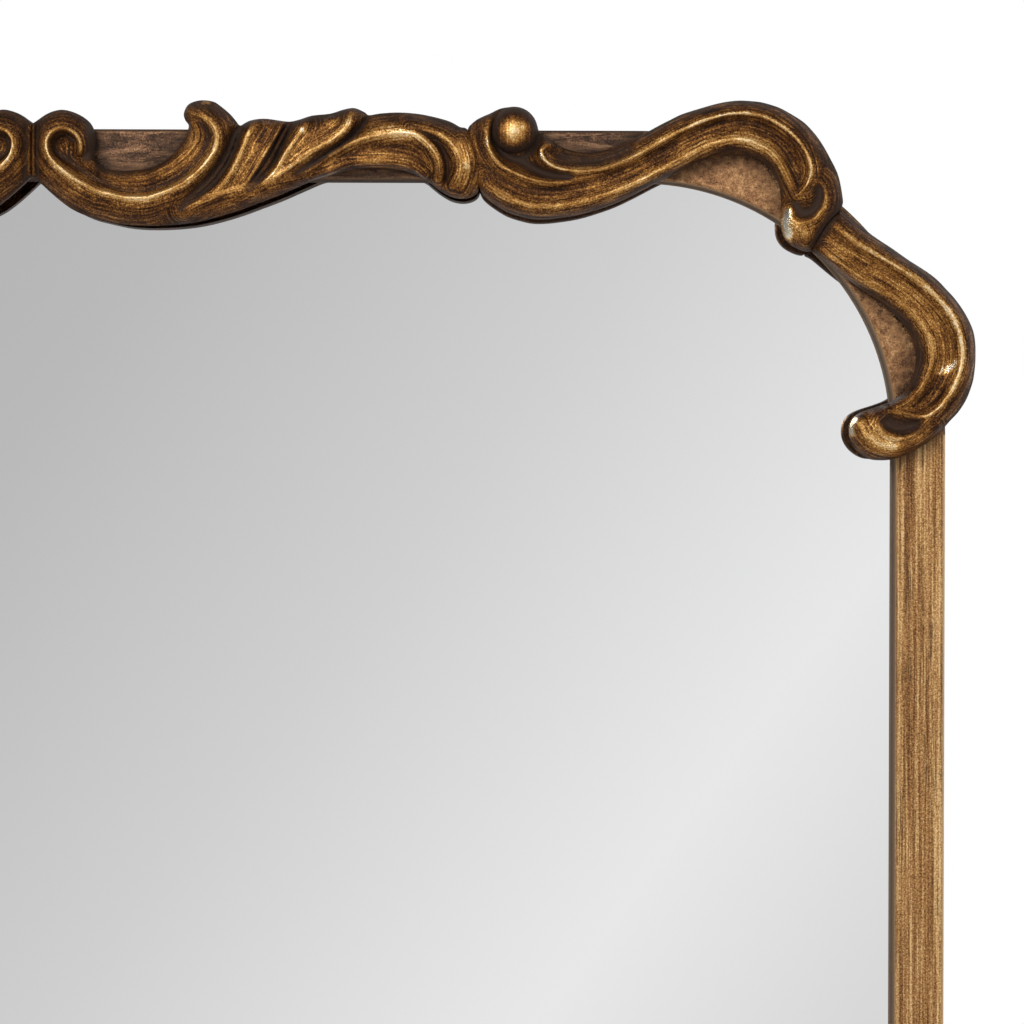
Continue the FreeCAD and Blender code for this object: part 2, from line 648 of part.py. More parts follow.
pearl_scroll_shares = [
    (0.493, 0.03, 0.486, 0.05, 0.4),
    (0.488, 0.00, 0.471, 0.01, 0.7),
    (0.490, -0.05, 0.471, -0.10, 0.8),
    (0.505, -0.09, 0.479, -0.21, 0.85),
    (0.528, -0.11, 0.507, -0.26, 0.85),
    (0.552, -0.09, 0.539, -0.28, 0.9),
    (0.581, -0.07, 0.577, -0.27, 0.9),
    (0.615, -0.06, 0.626, -0.225, 0.9),
    (0.641, -0.03, 0.661, -0.175, 0.9),
    (0.668, 0.01, 0.689, -0.13, 0.9),
    (0.706, 0.06, 0.718, -0.09, 0.88),
    (0.750, 0.085, 0.750, -0.08, 0.88),
    (0.798, 0.05, 0.777, -0.10, 0.9),
    (0.832, -0.03, 0.791, -0.17, 0.92),
    (0.853, -0.13, 0.794, -0.23, 0.9),
    (0.857, -0.21, 0.794, -0.27, 0.88),
    (0.839, -0.28, 0.795, -0.33, 0.8),
    (0.826, -0.36, 0.804, -0.37, 0.6),
]
sprout_shares = [
    (0.530, -0.050, 0.540, -0.024, 0.4),
    (0.526, -0.076, 0.549, -0.030, 0.7),
    (0.529, -0.104, 0.559, -0.046, 0.8),
    (0.537, -0.127, 0.569, -0.058, 0.8),
    (0.547, -0.140, 0.580, -0.066, 0.75),
    (0.563, -0.145, 0.595, -0.069, 0.6),
]
corner_hook_shares = [
    (0.845, -0.27, 0.837, -0.41, 0.6),
    (0.875, -0.30, 0.857, -0.46, 0.8),
    (0.920, -0.38, 0.891, -0.51, 0.88),
    (0.967, -0.48, 0.926, -0.61, 0.92),
    (0.992, -0.59, 0.936, -0.67, 0.92),
    (1.000, -0.67, 0.936, -0.73, 0.92),
    (0.997, -0.78, 0.929, -0.79, 0.9),
    (0.982, -0.87, 0.919, -0.82, 0.88),
    (0.955, -0.95, 0.907, -0.84, 0.85),
    (0.915, -1.00, 0.887, -0.85, 0.8),
    (0.881, -0.99, 0.868, -0.87, 0.75),
    (0.862, -0.94, 0.860, -0.90, 0.5),
]

# Round bosses: centre x, centre z and radius in shares of the same two lengths, the radius in the
# drop. A boss outline holds shares of its radius and of garland_relief.

curl_shares = (0.034, -0.04, 0.095)
pearl_shares = (0.512, 0.005, 0.052)
pearl_cup_shares = (0.510, 0.00, 0.08)
knob_shares = (0.819, -0.32, 0.045)
curl_outline_shares = [(1, 0), (0.93, 0.5), (0.74, 0.78), (0.52, 0.8), (0.4, 0.45), (0.1, 0.35)]
pearl_outline_shares = [(1, 0), (1, 0.35), (0.85, 0.65), (0.5, 0.88), (0.15, 0.95)]
knob_outline_shares = [(1, 0), (0.95, 0.5), (0.7, 0.85), (0.3, 0.95)]
cup_outline_shares = [(1, 0), (0.95, 0.3), (0.8, 0.4)]
spray_bed_height_share = 0.45

GARLAND_REACH = size("frame_width") / 2 + size("hook_overhang")
GARLAND_DROP = size("corner_radius") + size("hook_drop")
STRAND_STEPS = 2
BOSS_SIDES = 14


def on_face(x_share, z_share):
    x = x_share * GARLAND_REACH
    z = size("hanger_drop") + z_share * GARLAND_DROP
    return FreeCAD.Vector(x, doc.Sizes.evalExpression(FACE_Y), z)


def eased(shares):
    # Further sections between the chosen ones, on a smooth run through them.
    run = [shares[0]] + shares + [shares[-1]]
    found = []
    for before, here, there, after in zip(run, run[1:], run[2:], run[3:]):
        for step in range(STRAND_STEPS):
            t = step / STRAND_STEPS
            found.append([
                0.5 * (2 * b + (c - a) * t + (2 * a - 5 * b + 4 * c - d) * t**2 + (3 * b - a - 3 * c + d) * t**3)
                for a, b, c, d in zip(before, here, there, after)
            ])
    return found + [list(shares[-1])]


def lofted(shares):
    rings = []
    for first_x, first_z, second_x, second_z, height in eased(shares):
        first = on_face(first_x, first_z)
        second = on_face(second_x, second_z)
        middle = (first + second) * 0.5
        half = (second - first) * 0.5
        rise = height * size("garland_relief")
        rings.append([middle + half * across + FreeCAD.Vector(0, -rise * up, 0) for across, up in section_shares])
    return facetted_solid(rings, False)


def bed(shares, height_share):
    points = [on_face(x, z) for x, z in shares]
    outline = Part.Face(Part.makePolygon(points + points[:1]))
    return outline.extrude(FreeCAD.Vector(0, -height_share * size("garland_relief"), 0))


def turned_boss(place_shares, outline):
    # A round boss about an axis square to the face.
    x_share, z_share, radius_share = place_shares
    centre = on_face(x_share, z_share)
    rings = []
    for out, up in outline:
        reach = out * radius_share * GARLAND_DROP
        rise = FreeCAD.Vector(0, -up * size("garland_relief"), 0)
        turns = [side * 2 * math.pi / BOSS_SIDES for side in range(BOSS_SIDES)]
        rings.append([centre + rise + FreeCAD.Vector(reach * math.cos(t), 0, reach * math.sin(t)) for t in turns])
    return facetted_solid(rings, False)


def crest_spray():
    curl = turned_boss(curl_shares, curl_outline_shares)
    plate = bed(spray_bed_shares, spray_bed_height_share)
    strands = [belly_shares, leaf_one_shares, leaf_two_shares, arm_shares]
    pieces = [curl, plate] + [lofted(strand) for strand in strands]
    return lofted(crest_scroll_shares).multiFuse(pieces).removeSplitter()


def pearl_scroll():
    pearl = turned_boss(pearl_shares, pearl_outline_shares)
    knob = turned_boss(knob_shares, knob_outline_shares)
    cup = turned_boss(pearl_cup_shares, cup_outline_shares)
    pieces = [pearl, cup, knob, lofted(sprout_shares)]
    return lofted(pearl_scroll_shares).multiFuse(pieces).removeSplitter()


def corner_hook():
    return lofted(corner_hook_shares)


for label, maker in (("crest_spray", crest_spray), ("pearl_scroll", pearl_scroll), ("corner_hook", corner_hook)):
    right = maker()
    for side, sign in SIDES:
        casting = doc.addObject("Part::Feature", "%s_%s" % (label, side))
        casting.Shape = right if sign > 0 else right.mirror(FreeCAD.Vector(0, 0, 0), FreeCAD.Vector(1, 0, 0))
        nodes.append(casting)

# Build, test and write every piece

doc.recompute()
for item in doc.Objects:
    if "Invalid" in item.State or "Error" in item.State:
        raise RuntimeError("failed object: %s %s" % (item.Label, item.State))
os.makedirs("parts", exist_ok=True)
for node in nodes:
    if node.Shape.isNull() or not node.Shape.isValid():
        raise RuntimeError("bad shape: " + node.Label)
    box = node.Shape.BoundBox
    print("%-24s solids %2d volume %9.0f  y %.1f to %.1f" % (
        node.Label, len(node.Shape.Solids), node.Shape.Volume, box.YMin, box.YMax))
    node.Shape.exportStep(os.path.join("parts", node.Label + ".step"))
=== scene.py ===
from math import cos, pi, radians, sin

import bmesh
import bpy
import numpy as np
from mathutils import Matrix, Vector
from mathutils.geometry import delaunay_2d_cdt


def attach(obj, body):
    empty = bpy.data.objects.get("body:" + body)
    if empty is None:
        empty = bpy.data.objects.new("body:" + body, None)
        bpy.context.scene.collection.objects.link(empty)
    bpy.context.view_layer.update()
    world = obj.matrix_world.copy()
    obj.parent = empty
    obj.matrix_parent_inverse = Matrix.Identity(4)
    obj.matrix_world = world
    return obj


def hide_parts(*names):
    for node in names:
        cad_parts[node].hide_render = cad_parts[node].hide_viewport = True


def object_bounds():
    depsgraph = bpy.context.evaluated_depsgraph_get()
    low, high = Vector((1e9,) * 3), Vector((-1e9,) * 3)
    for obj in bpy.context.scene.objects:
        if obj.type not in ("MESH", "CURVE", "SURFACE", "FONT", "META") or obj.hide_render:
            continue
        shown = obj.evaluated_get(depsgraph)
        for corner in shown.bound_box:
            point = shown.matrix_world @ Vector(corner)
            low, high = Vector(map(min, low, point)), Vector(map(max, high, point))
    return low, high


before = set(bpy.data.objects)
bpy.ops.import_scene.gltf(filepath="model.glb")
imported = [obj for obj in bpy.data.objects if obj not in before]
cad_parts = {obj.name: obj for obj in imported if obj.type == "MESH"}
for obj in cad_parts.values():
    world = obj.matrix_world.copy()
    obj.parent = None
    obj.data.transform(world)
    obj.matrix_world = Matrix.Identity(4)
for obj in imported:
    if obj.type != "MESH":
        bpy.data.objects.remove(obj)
cad_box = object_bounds()


# The camera and the studio
# The camera stands level and square in front of the right shoulder, a metre off the bar's face, with
# its lens shifted down a little. The mirror is in front of white paper over a pale floor, and its
# glass shows the grey of the studio.

# Lengths are in mm and the roll in degrees. The picture's width and the lens shift are in pixels, and
# the picture's step is what one pixel covers of the bar's face.
BAR_FACE = 21
VIEW_DISTANCE = 1000
VIEW_X, VIEW_Z = 155.58, 61.07
VIEW_ROLL = 0.178
PICTURE_WIDTH = 1024
PICTURE_STEP = 0.325
LENS_SHIFT = 102

lens_data = bpy.data.cameras.new("camera")
lens_data.sensor_width = 36
lens_data.lens = lens_data.sensor_width * VIEW_DISTANCE / (PICTURE_WIDTH * PICTURE_STEP)
lens_data.shift_y = -LENS_SHIFT / PICTURE_WIDTH
lens_data.clip_start = 0.01
camera = bpy.data.objects.new("camera", lens_data)
camera.location = (VIEW_X / 1000, -(VIEW_DISTANCE + BAR_FACE) / 1000, VIEW_Z / 1000)
camera.rotation_euler = (radians(90), radians(-VIEW_ROLL), 0)
bpy.context.scene.collection.objects.link(camera)
bpy.context.scene.camera = camera
bpy.context.scene.view_settings.view_transform = "Standard"


def linear(red, green, blue):
    shares = [value / 255 for value in (red, green, blue)]
    return tuple(s / 12.92 if s < 0.04045 else ((s + 0.055) / 1.055) ** 2.4 for s in shares) + (1,)


def feed(tree, socket, value):
    if isinstance(value, bpy.types.NodeSocket):
        tree.links.new(value, socket)
    else:
        socket.default_value = value


def add(tree, kind, inputs=None, **settings):
    made = tree.nodes.new("ShaderNode" + kind)
    for name, value in settings.items():
        setattr(made, name, value)
    for name, value in (inputs or {}).items():
        feed(tree, made.inputs[name], value)
    return made


def work_out(tree, operation, first, second=0.0, third=0.0, clamp=False):
    made = add(tree, "Math", {0: first, 1: second, 2: third}, operation=operation, use_clamp=clamp)
    return made.outputs[0]


def rising(tree, value, gain, start):
    # The value times its gain, moved by the start and kept between 0 and 1.
    return work_out(tree, "MULTIPLY_ADD", value, gain, start, clamp=True)


def tones(tree, share, stops):
    made = add(tree, "ValToRGB", {0: share})
    ramp = made.color_ramp
    while len(ramp.elements) < len(stops):
        ramp.elements.new(0.5)
    for element, (place, colour) in zip(ramp.elements, stops):
        element.position = place
        element.color = colour
    return made.outputs[0]


def mixed(tree, share, first, second):
    # The Mix node has its colours in sockets 6 and 7, and the mixed colour in output 2.
    made = add(tree, "Mix", {0: share}, data_type="RGBA")
    feed(tree, made.inputs[6], first)
    feed(tree, made.inputs[7], second)
    return made.outputs[2]


def grey(level):
    return (level, level, level * 1.004, 1)


studio = bpy.data.worlds.new("studio")
bpy.context.scene.world = studio
studio.use_nodes = True
sky = studio.node_tree
sky.nodes.clear()
towards = add(sky, "SeparateXYZ", {0: add(sky, "TexCoord").outputs["Generated"]})
slant = work_out(sky, "MULTIPLY_ADD", towards.outputs["Z"], -0.75, towards.outputs["X"])
front_share = rising(sky, slant, 0.4, 0.5)
front = tones(sky, front_share, [
    (0.0, grey(0.22)), (0.35, grey(0.44)), (0.439, grey(0.545)), (0.5, grey(0.702)),
    (0.5615, grey(0.905)), (0.577, grey(0.855)), (0.603, grey(0.765)), (1.0, grey(0.5)),
])
behind_share = rising(sky, towards.outputs["Y"], 6.0, -5.0)
seen_in_metal = mixed(sky, behind_share, front, grey(1.0))
path = add(sky, "LightPath")
level = mixed(sky, path.outputs["Is Glossy Ray"], grey(0.42), seen_in_metal)
level = mixed(sky, path.outputs["Is Camera Ray"], level, grey(1.0))
glow = add(sky, "Background", {"Color": level, "Strength": 1.0})
sky.links.new(glow.outputs[0], add(sky, "OutputWorld").inputs[0])


def lamp(name, place, aim, across, height, watts, colour):
    data = bpy.data.lights.new(name, "AREA")
    data.shape = "RECTANGLE"
    data.size = across
    data.size_y = height
    data.energy = watts
    data.color = colour
    made = bpy.data.objects.new(name, data)
    made.location = place
    made.rotation_euler = (Vector(aim) - Vector(place)).to_track_quat("-Z", "Y").to_euler()
    bpy.context.scene.collection.objects.link(made)


lamp("key_softbox", (-0.75, -2.1, 1.1), (0.1, 0, 0), 1.0, 1.0, 34, (1.0, 0.985, 0.96))
lamp("side_strip", (-1.5, 0.05, 0.2), (0.15, -0.03, 0.05), 0.25, 1.4, 9, (0.93, 0.97, 1.0))
lamp("right_fill", (1.7, -1.1, 0.5), (0.2, 0, 0.05), 0.6, 1.0, 5, (1.0, 0.98, 0.95))


def finish(name):
    made = bpy.data.materials.new(name)
    made.use_nodes = True
    return made, made.node_tree, made.node_tree.nodes["Principled BSDF"]


def coloured(tree, shader, share, stops):
    feed(tree, shader.inputs["Base Color"], tones(tree, share, stops))


paper, paper_tree, paper_shader = finish("floor_paper")
paper_grain = add(paper_tree, "TexNoise", {"Scale": 60.0, "Detail": 4.0})
coloured(paper_tree, paper_shader, paper_grain.outputs[0], [
    (0.0, (0.84, 0.835, 0.825, 1)), (1.0, (0.88, 0.875, 0.865, 1)),
])
paper_shader.inputs["Roughness"].default_value = 0.9

FLOOR_REACH_X, FLOOR_REACH_Y, FLOOR_GAP = 1.6, 1.3, 0.0002
floor_mesh = bpy.data.meshes.new("floor")
floor_mesh.from_pydata([
    (x * FLOOR_REACH_X, y * FLOOR_REACH_Y, cad_box[0][2] - FLOOR_GAP)
    for x, y in ((-1, -1), (1, -1), (1, 1), (-1, 1))
], [], [(0, 1, 2, 3)])
floor = bpy.data.objects.new("floor", floor_mesh)
floor_mesh.materials.append(paper)
bpy.context.scene.collection.objects.link(floor)


# The bar frame
# Flat wooden bar, 16 mm wide, painted brown and dragged with gold along its length. The stiles took
# the most gold, pale along their outer edge. The rail and the corners stayed brown, crazed and sooty.
# Painted shade darkens the bar where the garland stands close, and down its sides towards the back.
# Both top corners are arcs about the places named here.

ARC_X, ARC_Z, ARC_RADIUS, FOOT_Z = 0.198, 0.0535, 0.0985, -0.753
BAR_HALF_WIDTH = 8.0
PAINT_TONES = ((0.0, "Ground"), (0.3, "Thin"), (0.52, "Middle"), (0.75, "Thick"), (1.0, "Bright"))
BAR_COLOURS = [tone for _, tone in PAINT_TONES] + ["Outer Edge", "Inner Edge", "Side"]


def effect(name, inputs, outputs):
    # A shader node group with named sockets, each a Float, a Vector or a Color.
    tree = bpy.data.node_groups.new(name, "ShaderNodeTree")
    for way, sockets in (("INPUT", inputs), ("OUTPUT", outputs)):
        for label, kind in sockets.items():
            tree.interface.new_socket(label, in_out=way, socket_type="NodeSocket" + kind)
    return tree, tree.nodes.new("NodeGroupInput").outputs, tree.nodes.new("NodeGroupOutput").inputs


def noise(tree, place, scale, detail, roughness=0.5):
    made = add(tree, "TexNoise", {
        "Vector": place, "Scale": scale, "Detail": detail, "Roughness": roughness,
    })
    return made.outputs[0]


def varied(tree, share, noises):
    # Moves a share up and down with each noise, whose middle is 0.5, by its strength.
    for cloud, strength in noises:
        lowered = work_out(tree, "SUBTRACT", share, strength / 2)
        share = work_out(tree, "MULTIPLY_ADD", cloud, strength, lowered)
    return share


def bumped(tree, socket, height, strength, depth):
    # Gives a socket the direction of a surface with fine bumps of this height, at most this deep.
    made = add(tree, "Bump", {"Strength": strength, "Distance": depth, "Height": height})
    feed(tree, socket, made.outputs[0])


def dragged_paint_effect():
    tree, given, shown = effect("dragged_paint", {
        "Drag": "Vector", "Openness": "Float", "Outer Gain": "Float", "Worn Scale": "Float",
        "Worn From": "Float", **{label: "Color" for label in BAR_COLOURS},
    }, {"Color": "Color", "Metallic": "Float", "Roughness": "Float", "Normal": "Vector"})
    place = add(tree, "TexCoord").outputs["Object"]
    at = add(tree, "SeparateXYZ", {0: place}).outputs

    # The distance from the bar's outer edge in mm, along the straight bars and round the arcs alike.
    past_x = work_out(tree, "MAXIMUM", work_out(
        tree, "SUBTRACT", work_out(tree, "ABSOLUTE", at["X"]), ARC_X), 0.0)
    past_z = work_out(tree, "MAXIMUM", work_out(tree, "SUBTRACT", at["Z"], ARC_Z), 0.0)
    reach = work_out(tree, "SQRT", work_out(
        tree, "MULTIPLY_ADD", past_x, past_x, work_out(tree, "MULTIPLY", past_z, past_z)))
    inset = work_out(tree, "MULTIPLY", 1000.0, work_out(
        tree, "MINIMUM", work_out(tree, "SUBTRACT", ARC_RADIUS, reach), work_out(
            tree, "SUBTRACT", at["Z"], FOOT_Z)))

    # How thick the gold lies, from the ground that shows through to the brightest paint.
    drag = add(tree, "Mapping", {"Vector": place, "Scale": given["Drag"]}).outputs[0]
    grit = noise(tree, place, 1800.0, 3.0, 0.75)
    from_middle = work_out(tree, "SUBTRACT", BAR_HALF_WIDTH, inset)
    share = varied(tree, work_out(tree, "MULTIPLY_ADD", from_middle, given["Outer Gain"], 0.5), [
        (noise(tree, drag, 0.35, 2.0), 1.0), (noise(tree, drag, 1.4, 5.0, 0.7), 2.0), (grit, 2.2),
    ])
    colour = given["Ground"]
    for (low, _), (high, tone) in zip(PAINT_TONES, PAINT_TONES[1:]):
        step = rising(tree, share, 1 / (high - low), -low / (high - low))
        colour = mixed(tree, step, colour, given[tone])

    # Gritty soot, and painted shade, where something stands close by.
    close = rising(tree, given["Openness"], -5.0, 4.1)
    soot_and_shade = work_out(tree, "MULTIPLY", close, rising(tree, grit, 12.0, -5.3))
    colour = mixed(tree, soot_and_shade, colour, linear(30, 22, 18))

    # Worn patches, and fine cracks around them.
    patches = noise(tree, place, given["Worn Scale"], 6.0, 0.8)
    worn_start = work_out(tree, "MULTIPLY", given["Worn From"], -9.0)
    patch = rising(tree, patches, 9.0, worn_start)
    craze = work_out(tree, "SUBTRACT", noise(tree, drag, 0.5, 6.0, 0.6), 0.5)
    crack = rising(tree, work_out(tree, "ABSOLUTE", craze), -45.0, 1.2)
    around = rising(tree, patches, 9.0, work_out(tree, "ADD", worn_start, 1.4))
    bare = work_out(tree, "MAXIMUM", patch, work_out(tree, "MULTIPLY", crack, around))
    colour = mixed(tree, work_out(tree, "MULTIPLY", bare, 0.85), colour, linear(44, 30, 22))

    # The outer and the inner edge, and the sides, with painted shade darkening them towards the back.
    thick = rising(tree, grit, 1.6, 0.0)
    outer = work_out(tree, "MULTIPLY", thick, rising(tree, inset, -1.1, 1.2))
    colour = mixed(tree, outer, colour, given["Outer Edge"])
    inner = work_out(tree, "MULTIPLY", thick, rising(tree, inset, 2.0, -31.0))
    colour = mixed(tree, inner, colour, given["Inner Edge"])
    facing = add(tree, "SeparateXYZ", {0: add(tree, "TexCoord").outputs["Normal"]}).outputs["Y"]
    side = rising(tree, work_out(tree, "ABSOLUTE", facing), -2.0, 1.0)
    painted_shade_deep = rising(tree, at["Y"], 180.0, 3.3)
    wall = mixed(tree, work_out(tree, "MULTIPLY", painted_shade_deep, 0.8), given["Side"], linear(40, 30, 23))
    colour = mixed(tree, work_out(tree, "MULTIPLY", side, 0.85), colour, wall)

    face = work_out(tree, "SUBTRACT", 1.0, side)
    feed(tree, shown["Color"], colour)
    feed(tree, shown["Metallic"], work_out(tree, "MULTIPLY", face, rising(tree, share, 0.5, 0.1)))
    feed(tree, shown["Roughness"], work_out(tree, "MULTIPLY_ADD", face, -0.35, 0.82))
    bumped(tree, shown["Normal"], share, 0.45, 0.00025)
    return tree


dragged_paint = dragged_paint_effect()


def bar_finish(name, drag, colours, outer_gain, worn_scale, worn_from):
    # The drag is how the strokes are squeezed along each axis. The colours are in BAR_COLOURS' order.
    material, tree, shader = finish(name)
    # Painted shade: the occlusion darkens the bar, with grit, where something stands close.
    openness = add(tree, "AmbientOcclusion", {"Distance": 0.007}, samples=4).outputs["AO"]
    paint = add(tree, "Group", {
        "Drag": drag, "Openness": openness, "Outer Gain": outer_gain, "Worn Scale": worn_scale,
        "Worn From": worn_from, **{label: linear(*rgb) for label, rgb in zip(BAR_COLOURS, colours)},
    }, node_tree=dragged_paint).outputs
    feed(tree, shader.inputs["Base Color"], paint["Color"])
    for label in ("Metallic", "Roughness", "Normal"):
        feed(tree, shader.inputs[label], paint[label])
    shader.inputs["Specular IOR Level"].default_value = 0.2
    return material


gold_colours = [(80, 46, 21), (130, 88, 48), (162, 117, 70), (192, 150, 96), (228, 194, 142),
                (232, 202, 156), (172, 138, 98), (108, 86, 66)]
rail_colours = [(46, 31, 23), (84, 60, 44), (112, 81, 60), (140, 104, 76), (174, 137, 104),
                (52, 36, 27), (110, 82, 52), (62, 46, 35)]
corner_colours = [(84, 55, 34), (128, 89, 58), (156, 113, 76), (178, 133, 90), (210, 168, 118),
                  (52, 36, 27), (156, 124, 88), (118, 96, 76)]
upright_gold = bar_finish("gold_dragged_upright", (1000, 1000, 16), gold_colours, 0.006, 30, 0.63)
level_gold = bar_finish("gold_dragged_level", (16, 1000, 1000), gold_colours, 0.006, 30, 0.63)
rail_patina = bar_finish("brown_rail_patina", (70, 420, 420), rail_colours, 0.0, 110, 0.55)
corner_patina = bar_finish("brown_corner_patina", (300, 340, 340), corner_colours, 0.0, 120, 0.66)


def dress(material, *node_names):
    for node_name in node_names:
        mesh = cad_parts[node_name].data
        mesh.materials.clear()
        mesh.materials.append(material)


dress(upright_gold, "stile_left", "stile_right")
dress(level_gold, "bottom_rail")
dress(rail_patina, "top_rail")
dress(corner_patina, "corner_block_left", "corner_block_right")


# Dowels and mitre keys
# Fluted beech dowels hold the corner blocks to the rails, and thin keys of the same wood cross the
# two mitres at the foot. They are glued in, so only sawn ends ever show.

beech, beech_tree, beech_shader = finish("beech")
beech_rings = add(beech_tree, "TexWave", {
    "Vector": add(beech_tree, "TexCoord").outputs["Object"], "Scale": 140.0, "Distortion": 6.0,
    "Detail": 3.0, "Detail Scale": 1.5,
}, bands_direction="Z")
coloured(beech_tree, beech_shader, beech_rings.outputs[1], [
    (0.0, linear(176, 132, 92)), (0.6, linear(204, 164, 120)), (1.0, linear(222, 188, 148)),
])
beech_shader.inputs["Roughness"].default_value = 0.7
dress(beech, "corner_dowels", "mitre_keys")


# The mirror glass
# A sheet of 3 mm float glass, silvered on its back and laid in from behind against the bar's lip. Its
# front is clean and flat, with the faintest roll in it.

silver, silver_tree, silver_shader = finish("silvered_glass")
roll = noise(silver_tree, add(silver_tree, "TexCoord").outputs["Object"], 3.0, 1.0)
coloured(silver_tree, silver_shader, roll, [
    (0.0, (0.885, 0.886, 0.886, 1)), (1.0, (0.895, 0.896, 0.896, 1)),
])
silver_shader.inputs["Metallic"].default_value = 1.0
silver_shader.inputs["Roughness"].default_value = 0.0
dress(silver, "mirror_glass")


# Foam strips
# Strips of soft black foam, a millimetre thick, lie between the glass and the board. They press the
# glass forward against the lip of the bar.

foam, foam_tree, foam_shader = finish("black_foam")
cells = add(foam_tree, "TexVoronoi", {
    "Vector": add(foam_tree, "TexCoord").outputs["Object"], "Scale": 1800.0,
}).outputs["Distance"]
coloured(foam_tree, foam_shader, cells, [
    (0.0, (0.008, 0.008, 0.009, 1)), (0.7, (0.03, 0.03, 0.032, 1)),
])
foam_shader.inputs["Roughness"].default_value = 0.95
bumped(foam_tree, foam_shader.inputs["Normal"], cells, 0.6, 0.0003)
dress(foam, "foam_strips")


# The backing board
# Thin brown hardboard, pressed smooth outside with a fibrous, slightly blotched face, screwed over
# the back of the frame.

hardboard, board_tree, board_shader = finish("hardboard")
board_place = add(board_tree, "TexCoord").outputs["Object"]
blotches = noise(board_tree, board_place, 14.0, 5.0, 0.6)
fibres = noise(board_tree, board_place, 900.0, 5.0, 0.75)
fibre_share = work_out(board_tree, "MULTIPLY_ADD", fibres, 0.6, work_out(
    board_tree, "MULTIPLY_ADD", blotches, 0.6, -0.1))
coloured(board_tree, board_shader, fibre_share, [
    (0.2, linear(74, 50, 34)), (0.5, linear(104, 72, 50)), (0.8, linear(140, 103, 74)),
])
board_shader.inputs["Roughness"].default_value = 0.62
bumped(board_tree, board_shader.inputs["Normal"], fibre_share, 0.3, 0.0002)
dress(hardboard, "backing_board")


# Screws of the backing board
# Eight zinc-plated pan-head screws, turned and with a pressed cross recess, hold the board to the
# back of the bar.


def grain_effect():
    # A noise stretched along the piece, and the fine bumps that go with it.
    tree, given, shown = effect("grain", {
        "Stretch": "Vector", "Scale": "Float", "Detail": "Float", "Roughness": "Float",
        "Strength": "Float", "Depth": "Float",
    }, {"Grain": "Float", "Normal": "Vector"})
    place = add(tree, "TexCoord").outputs["Object"]
    stretched = add(tree, "Mapping", {"Vector": place, "Scale": given["Stretch"]}).outputs[0]
    made = noise(tree, stretched, given["Scale"], given["Detail"], given["Roughness"])
    feed(tree, shown["Grain"], made)
    bumped(tree, shown["Normal"], made, given["Strength"], given["Depth"])
    return tree


grain = grain_effect()


def grained_finish(name, stretch, scale, detail, roughness, strength, depth, stops):
    material, tree, shader = finish(name)
    given = add(tree, "Group", {
        "Stretch": stretch, "Scale": scale, "Detail": detail, "Roughness": roughness,
        "Strength": strength, "Depth": depth,
    }, node_tree=grain).outputs
    coloured(tree, shader, given["Grain"], stops)
    feed(tree, shader.inputs["Normal"], given["Normal"])
    return material, tree, shader, given["Grain"]


zinc, zinc_tree, zinc_shader, spangle = grained_finish(
    "zinc_plate", (1, 1, 1), 420.0, 4.0, 0.6, 0.25, 0.0001, [
        (0.25, linear(150, 150, 146)), (0.55, linear(186, 187, 186)), (0.8, linear(208, 210, 212)),
    ])
zinc_shader.inputs["Metallic"].default_value = 1.0
feed(zinc_tree, zinc_shader.inputs["Roughness"], work_out(zinc_tree, "MULTIPLY_ADD", spangle, 0.35, 0.18))


def turned(profile, sides=40):
    # A solid turned about the Y axis from (radius, y) pairs in mm, first and last on the axis.
    points = [(0, profile[0][1] / 1000, 0)]
    for radius, y in profile[1:-1]:
        for side in range(sides):
            angle = 2 * pi * side / sides
            points.append((radius / 1000 * cos(angle), y / 1000, radius / 1000 * sin(angle)))
    points.append((0, profile[-1][1] / 1000, 0))
    faces = []
    last = len(points) - 1
    for side in range(sides):
        after = (side + 1) % sides
        faces.append((0, 1 + side, 1 + after))
        for ring in range(len(profile) - 3):
            low = 1 + ring * sides
            high = low + sides
            faces.append((low + side, high + side, high + after, low + after))
        top = 1 + (len(profile) - 3) * sides
        faces.append((last, top + after, top + side))
    return points, faces


def new_piece(name, points, faces, material, body="root", sharp=40):
    mesh = bpy.data.meshes.new(name)
    mesh.from_pydata([tuple(p) for p in points], [], faces)
    mesh.polygons.foreach_set("use_smooth", [True] * len(mesh.polygons))
    mesh.set_sharp_from_angle(angle=radians(sharp))
    mesh.materials.append(material)
    mesh.update()
    piece = bpy.data.objects.new(name, mesh)
    bpy.context.scene.collection.objects.link(piece)
    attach(piece, body)
    return piece


